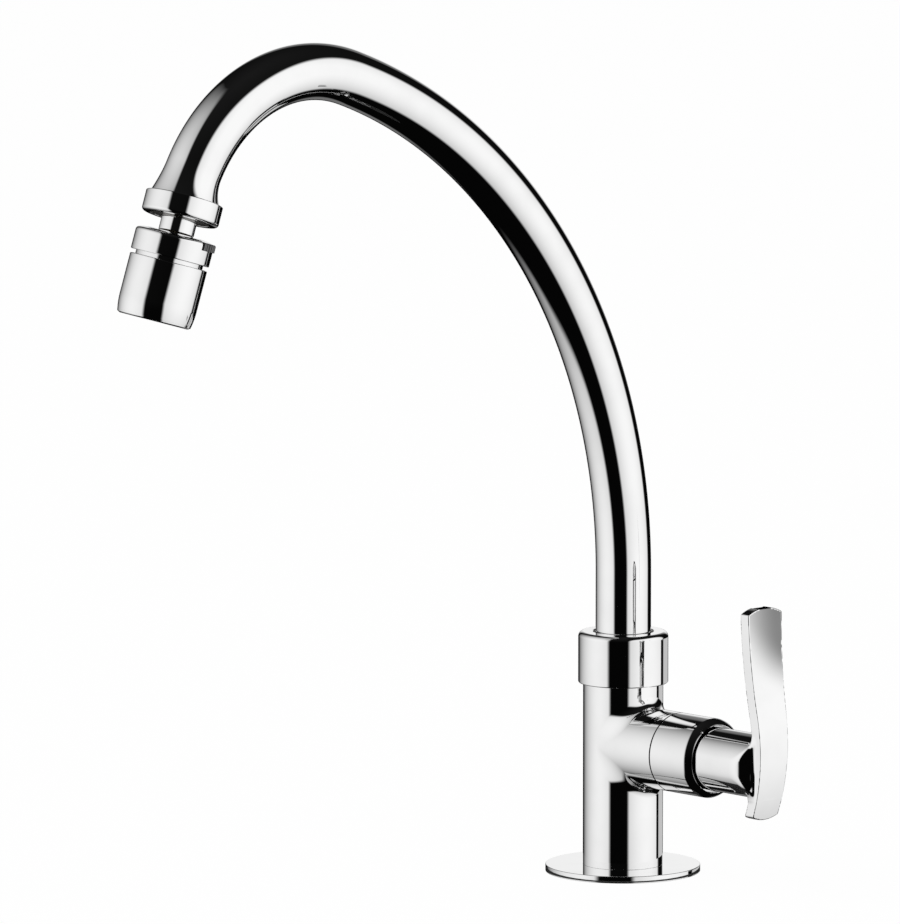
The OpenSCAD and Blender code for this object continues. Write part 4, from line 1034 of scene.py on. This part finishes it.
def light_tent():
    """Tent round the object, as the metal sees it: pale panels left, right and behind, dark cloth between."""
    made, tree, ahead = cloth("tent_cloth", unit=True)
    az = turn_of(tree, ahead)
    el = maths(tree, "MULTIPLY", maths(tree, "ARCSINE", ahead["Z"]), 180 / math.pi)
    total = maths(tree, "ADD", maths(tree, "MULTIPLY", el, 1e-4, True), TENT_DARK)
    for values in TENT_PANELS:
        total = maths(tree, "ADD", panel(tree, az, el, *values), total)
    cover(tree, glowing(tree, total))
    rows, cols = TENT_ROWS, TENT_COLS
    corners, faces = [(0, 0, TENT_R), (0, 0, -TENT_R)], []
    for i in range(1, rows):
        for j in range(cols):
            a, b = math.pi * i / rows, 2 * math.pi * j / cols
            wide = TENT_R * math.sin(a)
            corners.append((wide * math.cos(b), wide * math.sin(b), TENT_R * math.cos(a)))
    for j in range(cols):
        k = (j + 1) % cols
        faces.append((0, 2 + k, 2 + j))
        faces.append((1, 2 + (rows - 2) * cols + j, 2 + (rows - 2) * cols + k))
        for i in range(rows - 2):
            faces.append((2 + i * cols + j, 2 + i * cols + k, 2 + (i + 1) * cols + k, 2 + (i + 1) * cols + j))
    shy(stage_mesh("light_tent", corners, faces, made))


def low_card():
    """Low grey card behind the object, which only the metal sees; its first stretch is dark."""
    made, tree, place = cloth("card")
    az = maths(tree, "FLOORED_MODULO", turn_of(tree, place), 360.0)
    cover(tree, glowing(tree, soft_step(tree, az, CARD_DARK - 2.0, CARD_DARK + 2.0, 0.0, CARD_LEVEL)))
    corners, faces = [], []
    for k, a in enumerate(np.linspace(rad(CARD_FROM), rad(CARD_TO), 25)):
        for z in (CARD_LOW, CARD_TOP):
            corners.append((CARD_R * math.sin(a), -CARD_R * math.cos(a), z))
        if k:
            faces.append((2 * k - 2, 2 * k, 2 * k + 1, 2 * k - 1))
    shy(stage_mesh("low_card", corners, faces, made))


def deck_skirt():
    """Dark skirt below the deck, clear from inside: the undersides show it and not the clamp."""
    made, tree, shader = matt("skirt", 0.012)
    inside = tree.nodes.new("ShaderNodeNewGeometry").outputs["Backfacing"]
    cover(tree, mixed(tree, inside, shader, tree.nodes.new("ShaderNodeBsdfTransparent").outputs[0]))
    rows = ((SKIRT_IN_R, SKIRT_TOP), (SKIRT_R, SKIRT_TOP), (SKIRT_R, SKIRT_LOW))
    turns = [rad(360 * k / SKIRT_SIDES) for k in range(SKIRT_SIDES)]
    corners = [(r * math.cos(a), r * math.sin(a), z) for a in turns for r, z in rows]
    faces = []
    for k in range(SKIRT_SIDES):
        m = (k + 1) % SKIRT_SIDES
        faces += [(3 * k + i, 3 * k + i + 1, 3 * m + i + 1, 3 * m + i) for i in (0, 1)]
    shy(stage_mesh("deck_skirt", corners, faces, made))


def lever_flag():
    """Soft grey flag beside the lever, edge on to the spout: it shades the top of the blade by its reflection."""
    made, tree, place = cloth("flag")
    ahead = Vector((math.cos(rad(FLAG_TURN)), math.sin(rad(FLAG_TURN)), 0))
    out = maths(tree, "ADD", maths(tree, "MULTIPLY", place["X"], ahead.x), maths(tree, "MULTIPLY", place["Y"], ahead.y))
    depth = maths(tree, "MULTIPLY", maths(tree, "SUBTRACT", FLAG_FAR, out), 1 / (FLAG_FAR - FLAG_NEAR))
    depth = maths(tree, "ADD", depth, soft_step(tree, place["Z"], FLAG_LOW, FLAG_TOP, *FLAG_LIFT))
    foot = soft_step(tree, place["Z"], FLAG_LOW - 0.002, FLAG_LOW + 0.001)
    share = maths(tree, "MULTIPLY", soft_step(tree, depth, 0.0, 1.0), foot)
    clear = tree.nodes.new("ShaderNodeBsdfTransparent").outputs[0]
    cover(tree, mixed(tree, share, clear, glowing(tree, FLAG_LEVEL)))
    edges = ((FLAG_IN, FLAG_FOOT), (FLAG_OUT, FLAG_FOOT), (FLAG_OUT, FLAG_HEAD), (FLAG_IN, FLAG_HEAD))
    corners = [(r * ahead.x, r * ahead.y, z) for r, z in edges]
    shy(stage_mesh("lever_flag", corners, [(0, 1, 2, 3)], made))


def lamp(name, place, size, power):
    data = bpy.data.lights.new(name, "AREA")
    data.shape = "SQUARE"
    data.size = size
    data.energy = power
    obj = add_object(name, data)
    obj.location = place
    obj.rotation_euler = (LAMPS_AIM - Vector(place)).to_track_quat("-Z", "Y").to_euler()
    obj.visible_glossy = False


white_floor()
light_tent()
low_card()
deck_skirt()
lever_flag()
lamp("key", (-1.3, -1.6, 2.2), 1.6, 26)
lamp("fill", (2.2, -0.4, 1.6), 1.6, 14)

world = bpy.data.worlds.new("studio")
bpy.context.scene.world = world
world.use_nodes = True
air = world.node_tree
back = air.nodes["Background"].inputs
back["Color"].default_value = (1, 1, 1, 1)
glare = maths(air, "MULTIPLY", seen_directly(air), 1 - AIR_LEVEL)
feed(air, back["Strength"], maths(air, "ADD", glare, AIR_LEVEL))

# ---------------------------------------------------------------- camera

eye = bpy.data.cameras.new("eye")
eye.lens = EYE_LENS
eye.sensor_width = EYE_FILM
eye.sensor_fit = "AUTO"
eye.clip_start = 0.1
eye.clip_end = 50
camera = add_object("eye", eye)
camera.location = EYE_AT
camera.rotation_euler = Vector(EYE_AHEAD).to_track_quat("-Z", "Y").to_euler()
bpy.context.scene.camera = camera
bpy.context.scene.view_settings.view_transform = "Standard"
